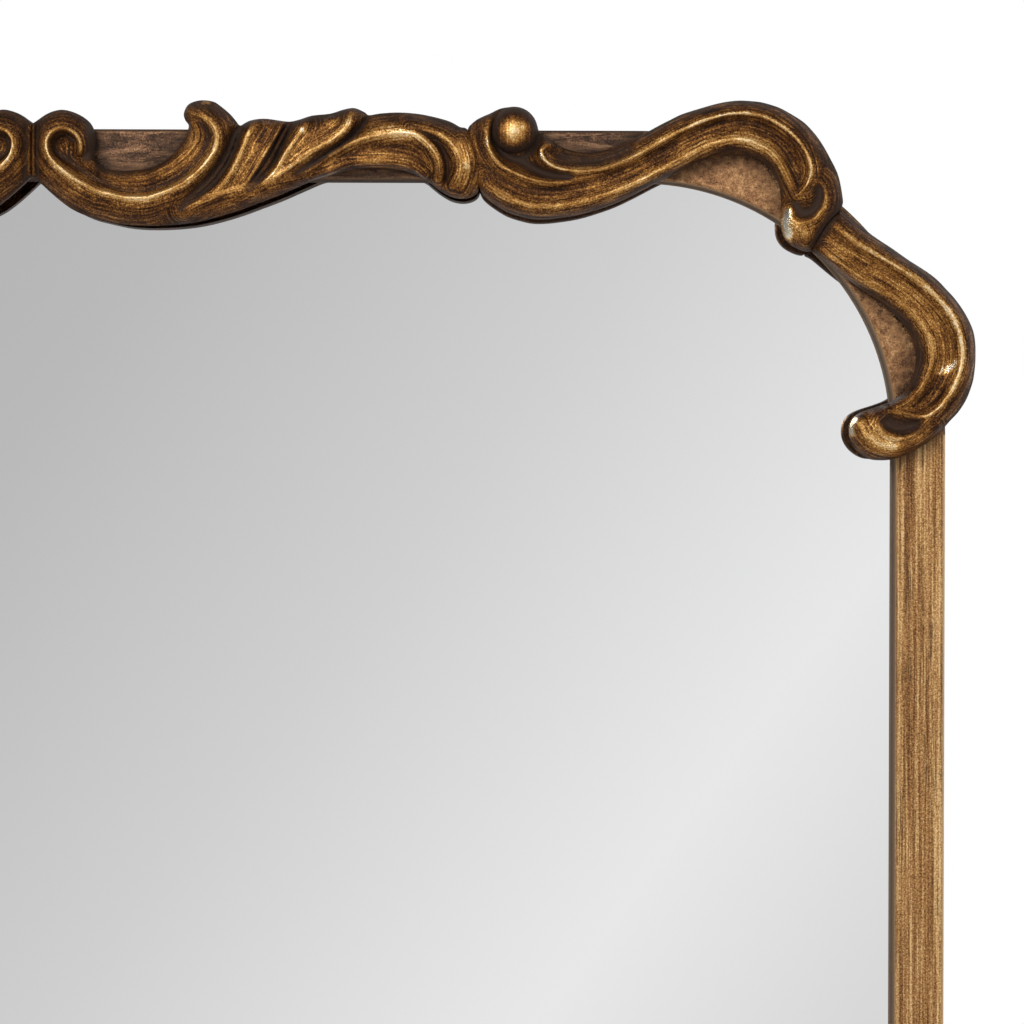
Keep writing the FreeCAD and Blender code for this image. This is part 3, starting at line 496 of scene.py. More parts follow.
def cross_screw(head_radius, head_height, shank_radius, shank_length):
    # The head's seat is at y = 0 and its top towards +Y. The recess is cut with a tapered cross.
    tip = 2.6
    blank = turned([
        (0, head_height), (head_radius * 0.55, head_height), (head_radius * 0.82, head_height * 0.84),
        (head_radius * 0.96, head_height * 0.5), (head_radius * 0.97, 0), (shank_radius, 0),
        (shank_radius * 0.97, -shank_length + tip), (0, -shank_length),
    ])
    wide, narrow, bottom = head_radius * 0.5, head_radius * 0.13, head_height * 0.3
    outline = []
    for x, z in ((1, 0), (0, 1), (-1, 0), (0, -1)):
        ahead, across = Vector((x, z)), Vector((-z, x))
        outline += [ahead * wide - across * narrow, ahead * wide + across * narrow,
                    ahead * narrow + across * narrow]
    count = len(outline)
    cross_points = []
    for share, y in ((1.1, head_height + 0.3), (0.5, bottom)):
        cross_points += [(x * share / 1000, y / 1000, z * share / 1000) for x, z in outline]
    cross_faces = [tuple(range(count)), tuple(reversed(range(count, 2 * count)))]
    for corner in range(count):
        after = (corner + 1) % count
        cross_faces.append((after, corner, corner + count, after + count))
    items = []
    for name, (points, faces) in (("blank", blank), ("cross", (cross_points, cross_faces))):
        mesh = bpy.data.meshes.new(name)
        mesh.from_pydata(points, [], faces)
        item = bpy.data.objects.new(name, mesh)
        bpy.context.scene.collection.objects.link(item)
        items.append(item)
    cut = items[0].modifiers.new("cut", "BOOLEAN")
    cut.operation = "DIFFERENCE"
    cut.solver = "EXACT"
    cut.object = items[1]
    seen = bpy.context.evaluated_depsgraph_get()
    made = bpy.data.meshes.new_from_object(items[0].evaluated_get(seen))
    for item in items:
        bpy.data.objects.remove(item)
    return [tuple(v.co) for v in made.vertices], [tuple(p.vertices) for p in made.polygons]


def screw_set(name, screw, seats, turn_each=0.7):
    # Each screw is turned a little further than the last, as a hand leaves them.
    points, faces = [], []
    for number, seat in enumerate(seats):
        turn = Matrix.Rotation(turn_each * number, 3, "Y")
        first = len(points)
        points += [turn @ Vector(p) + Vector(seat) / 1000 for p in screw[0]]
        faces += [tuple(first + corner for corner in face) for face in screw[1]]
    piece = new_piece(name, points, faces, zinc)
    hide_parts(name)
    piece.name = name + "_turned"


BOARD_BACK_Y = -5
SHANK_RADIUS, SHANK_LENGTH = 1.5, 12
SCREW_PLACES = ((99, 144.5), (289, 28.875), (289, -526.75), (133.425, -745.5))
screw_set("backing_screws", cross_screw(3, 1.6, SHANK_RADIUS, SHANK_LENGTH), [
    (sign * x, BOARD_BACK_Y, z) for sign in (-1, 1) for x, z in SCREW_PLACES])


# Hanger straps, their screws and rings
# Each strap is a zinc-plated steel strip with its top rolled into an eye, held by two screws. The
# ring is one bent wire whose straight bar turns in the eye, the only piece of the mirror that moves.

strap_steel, strap_tree, strap_shader, rolled = grained_finish(
    "zinc_strip", (2200, 400, 60), 1.0, 4.0, 0.5, 0.2, 0.0001, [
        (0.3, linear(140, 140, 138)), (0.5, linear(176, 178, 178)), (0.7, linear(206, 208, 208)),
    ])
strap_shader.inputs["Metallic"].default_value = 1.0
feed(strap_tree, strap_shader.inputs["Roughness"], work_out(strap_tree, "MULTIPLY_ADD", rolled, 0.3, 0.2))
dress(strap_steel, "hanger_strap_left", "hanger_strap_right")

STRAP_X, STRAP_BACK_Y = 287, -4.2
screw_set("hanger_screws", cross_screw(2.8, 1.6, SHANK_RADIUS, SHANK_LENGTH), [
    (sign * STRAP_X, STRAP_BACK_Y, z) for sign in (-1, 1) for z in (-32.3, -45.3)])

EYE_Y, EYE_Z = -2.95, -11.3
WIRE_RADIUS = 0.00119
REST_TILT = 2
bend, leg, half_width = 2.5, 2.5, 7.5
ring_line = [(0, 0)]
for step in range(9):
    turn = step * pi / 16
    ring_line.append((half_width - bend + bend * sin(turn), bend * cos(turn) - bend))
for step in range(33):
    turn = step * pi / 32
    ring_line.append((half_width * cos(turn), -bend - leg - half_width * sin(turn)))
for step in range(9):
    turn = step * pi / 16
    ring_line.append((bend - half_width - bend * cos(turn), bend * sin(turn) - bend))

for side, sign in (("left", -1), ("right", 1)):
    wire = bpy.data.curves.new("wire_" + side, "CURVE")
    wire.dimensions = "3D"
    wire.bevel_depth = WIRE_RADIUS
    wire.bevel_resolution = 6
    run = wire.splines.new("POLY")
    run.points.add(len(ring_line) - 1)
    run.use_cyclic_u = True
    tilt = Matrix.Rotation(radians(REST_TILT), 3, "X")
    eye = Vector((sign * STRAP_X, EYE_Y, EYE_Z)) / 1000
    for point, (x, z) in zip(run.points, ring_line):
        point.co = (*(eye + tilt @ Vector((x, 0, z)) / 1000), 1)
    bent = bpy.data.objects.new("wire_" + side, wire)
    bpy.context.scene.collection.objects.link(bent)
    seen = bpy.context.evaluated_depsgraph_get()
    mesh = bpy.data.meshes.new_from_object(bent.evaluated_get(seen))
    bpy.data.objects.remove(bent)
    ring = new_piece(
        "bent_ring_" + side, [v.co for v in mesh.vertices], [tuple(p.vertices) for p in mesh.polygons],
        zinc, body="ring_" + side,
    )
    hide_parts("hanger_ring_" + side)


# Wall bumpers
# Four soft feet of dark grey rubber, moulded with a rounded rim and stuck to the board near its
# corners. They keep the back of the mirror off the wall.

rubber, _, rubber_shader, _ = grained_finish(
    "grey_rubber", (1, 1, 1), 380.0, 5.0, 0.5, 0.25, 0.0002, [
        (0.3, linear(44, 44, 46)), (0.7, linear(70, 70, 72)),
    ])
rubber_shader.inputs["Roughness"].default_value = 0.7

foot_points, foot_faces = turned([
    (0, 0), (4.4, 0), (4.9, -0.12), (5.25, -0.45), (5.5, -1.1), (5.95, -4.6), (5.95, BOARD_BACK_Y),
    (0, BOARD_BACK_Y),
])
for height, x, z in (("top", 198, 142), ("bottom", 286.5, -743)):
    for side, sign in (("left", -1), ("right", 1)):
        moved = [(p[0] + sign * x / 1000, p[1], p[2] + z / 1000) for p in foot_points]
        name = "bumper_%s_%s" % (height, side)
        bumper = new_piece(name, moved, foot_faces, rubber)
        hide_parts("wall_" + name)


# The garland: its finish
# Resin castings painted as antique bronze: a dark brown ground, bronze dragged along the flow, and
# pale gold rubbed on the ridges. Soot stays in the hollows and along the edges. Painted shade darkens
# what faces up, and painted highlights and painted shade are laid in with the stains.


def bronze_finish():
    # Each point carries its place along and away from the nearest ridge, how much that ridge is
    # rubbed and how broad, and its soot, which is below zero where leaf was added. The soot also holds
    # painted shade, and painted highlights below zero; on the pearl the rub is a painted highlight.
    material, tree, shader = finish("antique_bronze")
    place = add(tree, "TexCoord").outputs["Object"]
    flow = add(tree, "UVMap", uv_map="flow").outputs["UV"]
    away = add(tree, "SeparateXYZ", {0: flow}).outputs["Y"]
    rub_and_highlight, breadth, soot_and_painted_light = [
        add(tree, "Attribute", attribute_name=label).outputs["Fac"]
        for label in ("rub_and_highlight", "breadth", "soot_and_painted_light")
    ]
    facing = add(tree, "SeparateXYZ", {0: add(tree, "TexCoord").outputs["Normal"]})
    # Painted shade: surfaces that face up are darkened.
    painted_shade_upward = rising(tree, facing.outputs["Z"], 1.5, -0.25)

    drag = add(tree, "Mapping", {"Vector": flow, "Scale": (0.07, 1.5, 1.0)}).outputs[0]
    streaks = noise(tree, drag, 1.0, 5.0, 0.75)
    cloud = noise(tree, place, 150.0, 5.0, 0.65)
    grit = noise(tree, place, 1700.0, 3.0, 0.75)
    worn = work_out(tree, "MULTIPLY_ADD", grit, 1.8, 0.1)

    # The rubbed line fades away from its ridge as a bell curve.
    from_ridge = work_out(tree, "DIVIDE", away, work_out(tree, "MULTIPLY", breadth, worn))
    line = work_out(tree, "POWER", 2.718, work_out(
        tree, "MULTIPLY", -1.0, work_out(tree, "POWER", from_ridge, 2.0)))
    line = work_out(tree, "MULTIPLY", line, rub_and_highlight)
    share = work_out(tree, "MULTIPLY_ADD", line, 0.76, 0.31)
    share = work_out(tree, "MULTIPLY_ADD", painted_shade_upward, -0.06, share)
    share = work_out(tree, "MULTIPLY_ADD", soot_and_painted_light, -0.36, share)
    share = varied(tree, share, [(streaks, 2.1), (cloud, 0.8), (grit, 1.5)])
    colour = tones(tree, work_out(tree, "DIVIDE", share, 1.3), [
        (0.0, linear(34, 20, 11)), (0.14, linear(60, 36, 19)), (0.28, linear(92, 58, 29)),
        (0.4, linear(130, 86, 42)), (0.52, linear(162, 115, 58)), (0.66, linear(200, 154, 90)),
        (0.81, linear(226, 194, 140)), (1.0, linear(236, 226, 206)),
    ])
    soot_and_shade = rising(tree, soot_and_painted_light, 1.1, -0.2)
    colour = mixed(tree, work_out(tree, "MULTIPLY", soot_and_shade, 0.85), colour, linear(68, 54, 46))
    feed(tree, shader.inputs["Base Color"], colour)
    feed(tree, shader.inputs["Metallic"], rising(tree, share, 1.3, -0.3))
    feed(tree, shader.inputs["Roughness"], work_out(
        tree, "MULTIPLY_ADD", grit, 0.35, work_out(tree, "MULTIPLY_ADD", soot_and_painted_light, 0.15, 0.17)))
    shader.inputs["Specular IOR Level"].default_value = 0.05
    height = work_out(tree, "MULTIPLY_ADD", streaks, 0.8, work_out(tree, "MULTIPLY", grit, 0.5))
    bumped(tree, shader.inputs["Normal"], height, 0.6, 0.0004)
    return material


bronze = bronze_finish()


# The garland: its relief
# Each casting is modelled from the lines that a carver draws: its outline, the ridges and the hollows.
# A line holds picture places with a height over the bar in mm. A ridge also says how much it is rubbed
# and how broad the rubbing is in mm, and a hollow or stain how dark it is and how far that spreads.
# Some stains are painted highlights, which are below zero, and some are painted shade.

# The tilt is the tangent of the camera's roll. Heights, the middle gap, the reach limit and the inset
# are in mm, and all lengths below them in pixels.
PICTURE_TILT = 0.0031
MIDDLE_GAP, REACH_LIMIT = 0.03, 305.7
EDGE_HEIGHT, LOWEST, HIGHEST = 3.2, 1.0, 11.3
BOTTOM_INSET = 0.32
FOOT_PAINT, FOOT_FLOW = (0, 1, 0.4), (0, 9)
RIM_SOOT, RIM_SPREAD = 0.5, 2.6
CREASE_SOOT, CREASE_SPREAD = 0.7, 3.0
GRID, ROW_SHARE, RIM_CLEAR, RIDGE_CLEAR = 1.7, 0.866, 0.55, 0.45
RIDGE_END, ON_RIM = 0.6, 0.02
SWELL, DISH, SOFTNESS = 2.1, 1.9, 0.02
STREAK_START, FLUTE_FADE = 37, 3
CURVE_STEPS, FLUTE_STEPS = 3, 4


def spot(across, down, height):
    # Where points this many mm off the bar's face lie, if they show at these places of the picture.
    middle = PICTURE_WIDTH / 2
    axis_row = middle - LENS_SHIFT
    right = across - middle + PICTURE_TILT * (down - axis_row)
    up = axis_row - down + PICTURE_TILT * (across - middle)
    step = PICTURE_STEP * (VIEW_DISTANCE - height) / VIEW_DISTANCE
    x = np.clip(VIEW_X + right * step, MIDDLE_GAP, REACH_LIMIT)
    return np.stack([x, -BAR_FACE - height, VIEW_Z + up * step], axis=-1)


def eased(points, steps, closed=False):
    # A smooth run through the rows of a line.
    values = np.array(points, float)
    if closed:
        ends = np.concatenate([values[-1:], values, values[:2]])
    else:
        ends = np.concatenate([values[:1] * 2 - values[1:2], values, values[-1:] * 2 - values[-2:-1]])
    out = []
    for a, b, c, d in zip(ends, ends[1:], ends[2:], ends[3:]):
        for step in range(steps):
            t = step / steps
            out.append(0.5 * (2 * b + (c - a) * t + (2 * a - 5 * b + 4 * c - d) * t ** 2
                              + (3 * b - a - 3 * c + d) * t ** 3))
    if not closed:
        out.append(values[-1])
    return np.array(out)


def filled(points, count):
    # Fills in the values of a line that gives them only where they change.
    rows = np.full((len(points), 2 + count), np.nan)
    for row, point in zip(rows, points):
        row[:len(point)] = point
    for column in range(2, 2 + count):
        known = ~np.isnan(rows[:, column])
        rows[:, column] = np.interp(range(len(rows)), np.flatnonzero(known), rows[known, column])
    return rows


def drawn(line, count):
    # A line with all its values, as a smooth run.
    return eased(filled(line, count), CURVE_STEPS)


def nearest(spots, line):
    # For each spot the distance to a line, the place along it, and the line's own values there.
    starts, ends = line[:-1], line[1:]
    run = ends[:, :2] - starts[:, :2]
    length = np.maximum(np.hypot(run[:, 0], run[:, 1]), 1e-6)
    passed = np.concatenate([[0], np.cumsum(length)])
    best = np.full(len(spots), 1e9)
    along = np.zeros(len(spots))
    values = np.zeros((len(spots), line.shape[1] - 2))
    for k in range(len(starts)):
        to = spots - starts[k, :2]
        share = np.clip((to @ run[k]) / length[k] ** 2, 0, 1)
        gap = to - share[:, None] * run[k]
        distance = np.hypot(gap[:, 0], gap[:, 1])
        closer = distance < best
        best[closer] = distance[closer]
        along[closer] = passed[k] + share[closer] * length[k]
        values[closer] = starts[k, 2:] + share[closer, None] * (ends[k, 2:] - starts[k, 2:])
    return best, along, values


def inside(spots, outline):
    # Which spots lie within a closed line.
    found = np.zeros(len(spots), bool)
    x, y = spots[:, 0], spots[:, 1]
    for (ax, ay), (bx, by) in zip(outline[:, :2], np.roll(outline[:, :2], -1, axis=0)):
        crosses = (ay > y) != (by > y)
        found ^= crosses & (x < (bx - ax) * (y - ay) / (by - ay + 1e-12) + ax)
    return found


def relief(spots, ridges, lows, stains_and_painted_light):
    # The height of each spot and its paint, from the nearest ridge and the nearest low line. A low
    # line is a rim or a crease, whose sides swell, or a hollow, whose sides dish. A stain is paint only,
    # and it lays the painted highlights and painted shade too.
    high_distance = np.full(len(spots), 1e9)
    high_weight, high = 0, 0
    along = np.zeros(len(spots))
    for number, ridge in enumerate(ridges):
        distance, passed, values = nearest(spots, ridge)
        weight = 1 / (distance ** 3 + SOFTNESS)
        high_weight = high_weight + weight
        high = high + weight[:, None] * values
        closer = distance < high_distance
        high_distance = np.where(closer, distance, high_distance)
        along = np.where(closer, passed + STREAK_START * number, along)
    level, rub_and_highlight, breadth = (high / high_weight[:, None]).T
    low_distance = np.full(len(spots), 1e9)
    low_weight, low, dish, soot_and_painted_light = 0, 0, 0, 0
    for line, hollow, dark, spread in lows:
        distance, _, values = nearest(spots, line)
        weight = 1 / (distance ** 3 + SOFTNESS)
        low_weight = low_weight + weight
        low = low + weight * values[:, 0]
        dish = dish + weight * hollow
        low_distance = np.minimum(low_distance, distance)
        soot_and_painted_light = np.maximum(soot_and_painted_light, dark * np.exp(-(distance / spread) ** 2))
    for dark, spread, line in stains_and_painted_light:
        soot_and_painted_light = soot_and_painted_light + dark * np.exp(-(nearest(spots, line)[0] / spread) ** 2)
    climb = low_distance / np.maximum(low_distance + high_distance, 1e-6)
    swelling = 1 - (1 - climb) ** SWELL
    dishing = 0.5 * climb ** DISH + 0.5 * climb * climb * (3 - 2 * climb)
    dish, low = dish / low_weight, low / low_weight
    height = low + (level - low) * (dishing * dish + swelling * (1 - dish))
    return height, np.stack([rub_and_highlight, breadth, soot_and_painted_light], axis=1), np.stack([along, high_distance], axis=1)


def casting(outline, ridges, creases, hollows, stains_and_painted_light, flutes):
    # The mesh of one casting: its points, faces, paint and flow. Its top follows the relief, and its
    # wall goes from the rim to a foot a little further in. Fine flutes run along a line, which comes
    # with how far they reach from it, how deep they are in mm and how far apart.
    rim = eased([(*place, EDGE_HEIGHT)[:3] for place in outline], CURVE_STEPS, closed=True)
    rim_loop = np.concatenate([rim, rim[:1]])
    around = [(k, (k + 1) % len(rim)) for k in range(len(rim))]
    ridge_lines = [drawn(line, 3) for line in ridges]
    low_lines = [(rim_loop, 0, RIM_SOOT, RIM_SPREAD)]
    low_lines += [(drawn(line, 1), 0, CREASE_SOOT, CREASE_SPREAD) for line in creases]
    low_lines += [(drawn(line, 1), 1, dark, spread) for dark, spread, line in hollows]
    stain_and_light_lines = [(dark, spread, eased(line, CURVE_STEPS)) for dark, spread, line in stains_and_painted_light]

    # The plan is meshed along the rim and the ridges, with a grid of triangles between them.
    spots = [rim[:, :2]]
    edges = list(around)
    count = len(rim)
    for line in ridge_lines:
        held = line[inside(line[:, :2], rim) & (nearest(line[:, :2], rim_loop)[0] > RIDGE_END)]
        edges += [(count + k, count + k + 1) for k in range(len(held) - 1)]
        spots.append(held[:, :2])
        count += len(held)
    fixed = np.concatenate(spots)
    low_corner, high_corner = fixed.min(0), fixed.max(0)
    rows = np.arange(low_corner[1], high_corner[1], GRID * ROW_SHARE)
    columns = np.arange(low_corner[0], high_corner[0], GRID)
    shifted = columns[None, :] + (np.arange(len(rows)) % 2)[:, None] * GRID / 2
    filling = np.stack([shifted, np.broadcast_to(rows[:, None], shifted.shape)], axis=-1).reshape(-1, 2)
    filling = filling[inside(filling, rim)]
    clear = nearest(filling, rim_loop)[0] > GRID * RIM_CLEAR
    for line in ridge_lines:
        clear &= nearest(filling, line)[0] > GRID * RIDGE_CLEAR
    flat = np.concatenate([fixed, filling[clear]])
    made = delaunay_2d_cdt([Vector(p) for p in flat], edges, [], 1, 1e-4)
    plan = np.array([(p.x, p.y) for p in made[0]])
    faces = [tuple(face) for face in made[2]]

    height, paint, flow = relief(plan, ridge_lines, low_lines, stain_and_light_lines)
    to_rim, _, rim_values = nearest(plan, rim_loop)
    for middle, reach, depth, spacing in flutes:
        away = nearest(plan, eased(middle, FLUTE_STEPS))[0]
        fade = np.clip((reach - away) / FLUTE_FADE, 0, 1)
        height = height + depth * fade * np.cos(2 * pi * away / spacing)
    height = np.where(to_rim < ON_RIM, rim_values[:, 0], np.clip(height, LOWEST, HIGHEST))
    top = spot(plan[:, 0], plan[:, 1], height)

    following = np.roll(rim[:, :2], -1, axis=0) - np.roll(rim[:, :2], 1, axis=0)
    following /= np.maximum(np.hypot(following[:, 0], following[:, 1])[:, None], 1e-6)
    inward = np.stack([-following[:, 1], following[:, 0]], axis=1)
    foot_plan = rim[:, :2] + inward * BOTTOM_INSET / PICTURE_STEP
    foot = spot(foot_plan[:, 0], foot_plan[:, 1], np.zeros(len(foot_plan)))
    order = [int(np.argmin(np.hypot(*(plan - p[:2]).T))) for p in rim]
    first = len(top)
    wall = [(order[k], order[after], first + after, first + k) for k, after in around]
    back = delaunay_2d_cdt([Vector(p) for p in foot_plan], around, [], 1, 1e-6)
    back_faces = []
    if len(back[0]) == len(foot_plan):
        back_faces = [tuple(first + corner for corner in reversed(face)) for face in back[2]]

    points = np.concatenate([top, foot])
    paint = np.concatenate([paint, np.broadcast_to(FOOT_PAINT, (len(foot), 3))])
    flow = np.concatenate([flow * PICTURE_STEP, np.broadcast_to(FOOT_FLOW, (len(foot), 2))])
    return points, faces + wall + back_faces, paint, flow


def dome(across, down, rings, sides=44):
    # A turned boss standing at a picture place, from rings of (radius, height, rub, soot). The rub
    # paints its lit cap as a highlight and the soot paints painted shade on its upper sides.
    points, faces, paint, flow = [], [], [], []
    for radius, height, rub_and_highlight, soot_and_painted_light in rings:
        for side in range(sides):
            angle = 2 * pi * side / sides
            points.append(spot(across + radius * cos(angle), down + radius * sin(angle), height))
            paint.append((rub_and_highlight, 1, soot_and_painted_light))
            flow.append((radius * PICTURE_STEP * cos(angle) * 4, 0))
    for ring in range(len(rings) - 1):
        for side in range(sides):
            after = (side + 1) % sides
            low, high = ring * sides, (ring + 1) * sides
            faces.append((low + side, low + after, high + after, high + side))
    faces.append(tuple(range((len(rings) - 1) * sides, len(rings) * sides)))
    return np.array(points), faces, np.array(paint), np.array(flow)


def pair(name, parts):
    # Joins the parts of one casting and makes it and its mirrored twin.
    faces, first = [], 0
    for part in parts:
        faces += [tuple(first + corner for corner in face) for face in part[1]]
        first += len(part[0])
    points, paint, flow = [np.concatenate([part[k] for part in parts]) for k in (0, 2, 3)]
    for side, sign in (("right", 1), ("left", -1)):
        moved = points * (sign / 1000, 0.001, 0.001)
        piece = new_piece(name + "_cast_" + side, moved, faces, bronze, sharp=180)
        mesh = piece.data
        for label, values in zip(("rub_and_highlight", "breadth", "soot_and_painted_light"), paint.T):
            held = mesh.attributes.new(label, "FLOAT", "POINT")
            held.data.foreach_set("value", values.astype(np.float32))
        corners = np.zeros(len(mesh.loops), np.int32)
        mesh.loops.foreach_get("vertex_index", corners)
        flow_map = mesh.uv_layers.new(name="flow")
        flow_map.data.foreach_set("uv", flow[corners].astype(np.float32).ravel())
        shaped = bmesh.new()
        shaped.from_mesh(mesh)
        bmesh.ops.recalc_face_normals(shaped, faces=shaped.faces)
        shaped.to_mesh(mesh)
        shaped.free()
        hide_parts(name + "_" + side)


# Crest sprays
# Each half of the crest is one casting: a C-scroll whose head curls over beside the middle, its belly
# running on under two leaves into a fluted arm, and a cuff with a bulb where the next casting starts.

crest_outline = [
    (31.2, 124.6, 4.4), (35.5, 121.6, 3.8), (40, 118.4), (44, 115.6), (50, 112.4), (56, 110.5),
    (62, 109.7), (70, 111), (80, 115), (88, 120.5), (92.5, 126), (95, 133), (95.6, 144), (94.6, 154),
    (97, 162), (103, 167), (112, 169.6), (125, 170.6), (137, 170), (150, 168), (162, 162.5), (172, 155),
    (180, 146), (185, 137.5), (187.8, 130.5), (188.6, 125), (185.4, 120.5), (183.7, 114), (187, 106),
    (193, 102), (202, 100.2), (213, 101.5), (220, 105.6), (230, 114), (236, 121), (240, 125.5),
    (245, 123), (250, 120.6), (258, 119), (267, 118.8), (280, 120.6), (290, 121.6), (300, 119.4),
    (312, 115.6), (330, 113.7), (342, 110), (351, 108), (357, 108.7), (365, 112.5), (369, 115.2),
    (380, 113.5), (395, 112.5), (410, 113), (425, 115), (442, 119), (452, 122.5), (460, 127),
    (467, 129, 5), (471.1, 140, 8.4), (475.1, 152, 9), (477.6, 165, 9), (478.6, 178, 8.4),
    (479.1, 187, 6), (477, 193.5), (471, 197.4), (462, 199), (451, 197), (440, 191), (431, 184),
    (424, 178.5), (410, 172.5), (395, 169.5), (380, 168.3), (365, 168.6), (350, 170.2), (337, 173.5),
    (326, 176.6), (317, 179), (297.2, 187.6), (277.5, 196.2), (257.7, 203.7), (238, 211), (218.5, 217),
    (199, 221.7), (180, 224.5), (160, 225.8), (140, 225.8), (120.5, 224), (100.5, 219.6), (90, 217),
    (80, 213.3), (70, 208), (60, 200.6), (50, 192), (41, 183.6), (36, 178.8, 3.6), (31, 176.5, 4.4),
    (30.6, 173, 5), (30.4, 150, 5.6), (30.6, 128, 5),
]
crest_ridges = [
    [(190, 109.5, 7.6, 0.15, 1), (195.5, 111.5, 9.2, 0.3), (201, 114.5, 10.2, 0.5),
     (206.5, 118.5, 10.6, 0.62), (211, 123), (215, 129, 10.8, 0.8, 1.1), (216.8, 138), (215.8, 146),
     (213, 152.5, 10.8, 0.75, 1.4), (209, 158), (204.5, 164), (198.5, 170.3), (191, 177),
     (182.5, 183.3, 10.8, 0.72, 1.6), (174, 187.3), (166, 191), (157, 194.2),
     (148, 197, 10.8, 0.85, 1.7), (140, 198), (130, 197.8), (120, 196.4), (110, 193.8), (100, 191.5),
     (92, 188.3, 10.8, 0.7, 1.5), (84, 184), (75.5, 179.3), (67.5, 173.8, 10.8, 0.8, 1.3),
     (59.5, 167.3), (53, 161), (48.5, 154.5, 10.8, 0.8, 1), (46.3, 147), (46.3, 140.5),
     (49, 134.5, 10.8, 0.7, 0.8), (54.5, 130.2), (61, 128.3, 10.8, 0.6, 0.8), (68, 129.3), (74, 133),
     (78, 137.5, 10.7, 0.85, 0.8), (79.8, 143, 10.4, 0.75), (80.3, 148, 9.8, 0.6),
     (80, 153, 9, 0.3, 0.6)],
    [(193, 123, 7.9, 0.1, 1.6), (197, 130, 8.2, 0.2), (196.8, 140), (192, 148.5),
     (184, 157, 8.2, 0.28, 2.2), (174, 165), (163, 171.5), (150, 176.8), (137, 178.8, 8.1, 0.2, 2),
     (124, 178.8), (112, 176.5, 8, 0.05, 1.8), (101, 173), (92, 166, 7.6, 0, 1.8),
     (85, 160, 7.3, 0, 1.8)],
    [(184, 209, 8.6, 0.15, 0.7), (190, 205.5, 8.9, 0.45), (200, 200.8), (212, 195.5, 9, 0.52),
     (225, 191.5), (239, 187.5, 9, 0.5, 1.2), (252, 185.5, 8.9, 0.3), (267, 182, 8.7, 0.3),
     (285, 177.5, 8.6, 0.1), (300, 174.5, 8.4, 0.05)],
    [(254, 125, 8.6, 0.3, 0.8), (251, 129.5, 9.8, 0.5), (247, 136.5), (244, 144.5, 10.3, 0.66, 0.9),
     (240.7, 152.5), (236, 163, 10.3, 0.62), (231.3, 172), (226, 180, 9.7, 0.5),
     (221, 186.5, 9.3, 0.45), (214, 193, 9, 0.45)],
    [(282, 124, 8.8, 0.25, 0.5), (278, 132, 10, 0.5), (273, 140.5), (268, 149, 10.2, 0.55),
     (262.7, 157.3), (257, 167), (251, 176.3, 9.7, 0.55), (245, 184.3, 9.3, 0.45),
     (239, 189.5, 9, 0.3)],
    [(305, 123, 8.8, 0.3, 0.7), (302.5, 129.5, 9.7, 0.5), (297, 136.8), (290, 147, 10.2, 0.52),
     (285, 155), (280.5, 163), (275.5, 171, 9.6, 0.45), (266, 180, 9.1, 0.5), (258, 185.5, 8.9, 0.3)],
    [(350.5, 113.5, 8.8, 0.3, 0.9), (349, 121, 10.2, 0.7), (345, 128.5, 10.8, 0.68, 1.2),
     (338.5, 134.5), (329.3, 141), (319.3, 146.5, 10.8, 0.55, 1.1), (309.5, 152.2), (300, 159),
     (290.3, 165.8, 10.5, 0.5, 0.9), (281.8, 172.3, 10, 0.5), (271.7, 179, 9.4, 0.45),
     (261.3, 184.7, 8.9, 0.35)],
    [(299, 174, 8.6, 0.2, 0.6), (306, 171, 9.4, 0.35), (313, 166.3, 10.2, 0.45, 0.8),
     (325, 157.5, 10.6, 0.5), (338, 150, 10.7, 0.58, 1.2), (351, 143), (366, 137.5, 10.8, 0.62, 2.1),
     (385, 134), (403, 132.3, 10.8, 0.7, 2.1), (415, 133.8, 10.8, 0.85, 1.3), (422.5, 139),
     (430, 146, 10.8, 0.85, 0.9), (436, 155), (439, 163, 10.6, 0.6), (439.5, 171, 10, 0.35),
     (438, 178, 8.8, 0.1, 0.8)],
    [(312, 175.2, 8.2, 0, 1.2), (330, 168.8, 8.5, 0.12), (345, 162.5), (360, 160.8, 8.5, 0.2),
     (378, 160), (395, 161, 8.5, 0.18), (408, 163.5), (418, 168.8, 8, 0.1), (425, 175, 6.8, 0)],
    [(409, 127.5, 10.3, 0, 0.8), (420, 129.3, 10.5, 0.25), (431, 131.8, 10.5, 0.45),
     (441, 135.5, 10.5, 0.6, 0.9), (449, 140.8), (455, 148), (459.5, 157, 10.5, 0.6, 1), (460.5, 166),
     (459, 175, 10.1, 0.45), (453.5, 185.5, 8.8, 0.15)],
    [(460, 141, 9.8, 0, 1.8), (463, 150, 10.4, 0.2), (465.5, 158, 10.7, 0.4, 1.8),
     (466.3, 167, 10.7, 0.55, 1.6), (464.5, 177, 9.8, 0.25), (460, 187, 8.4, 0.1)],
]
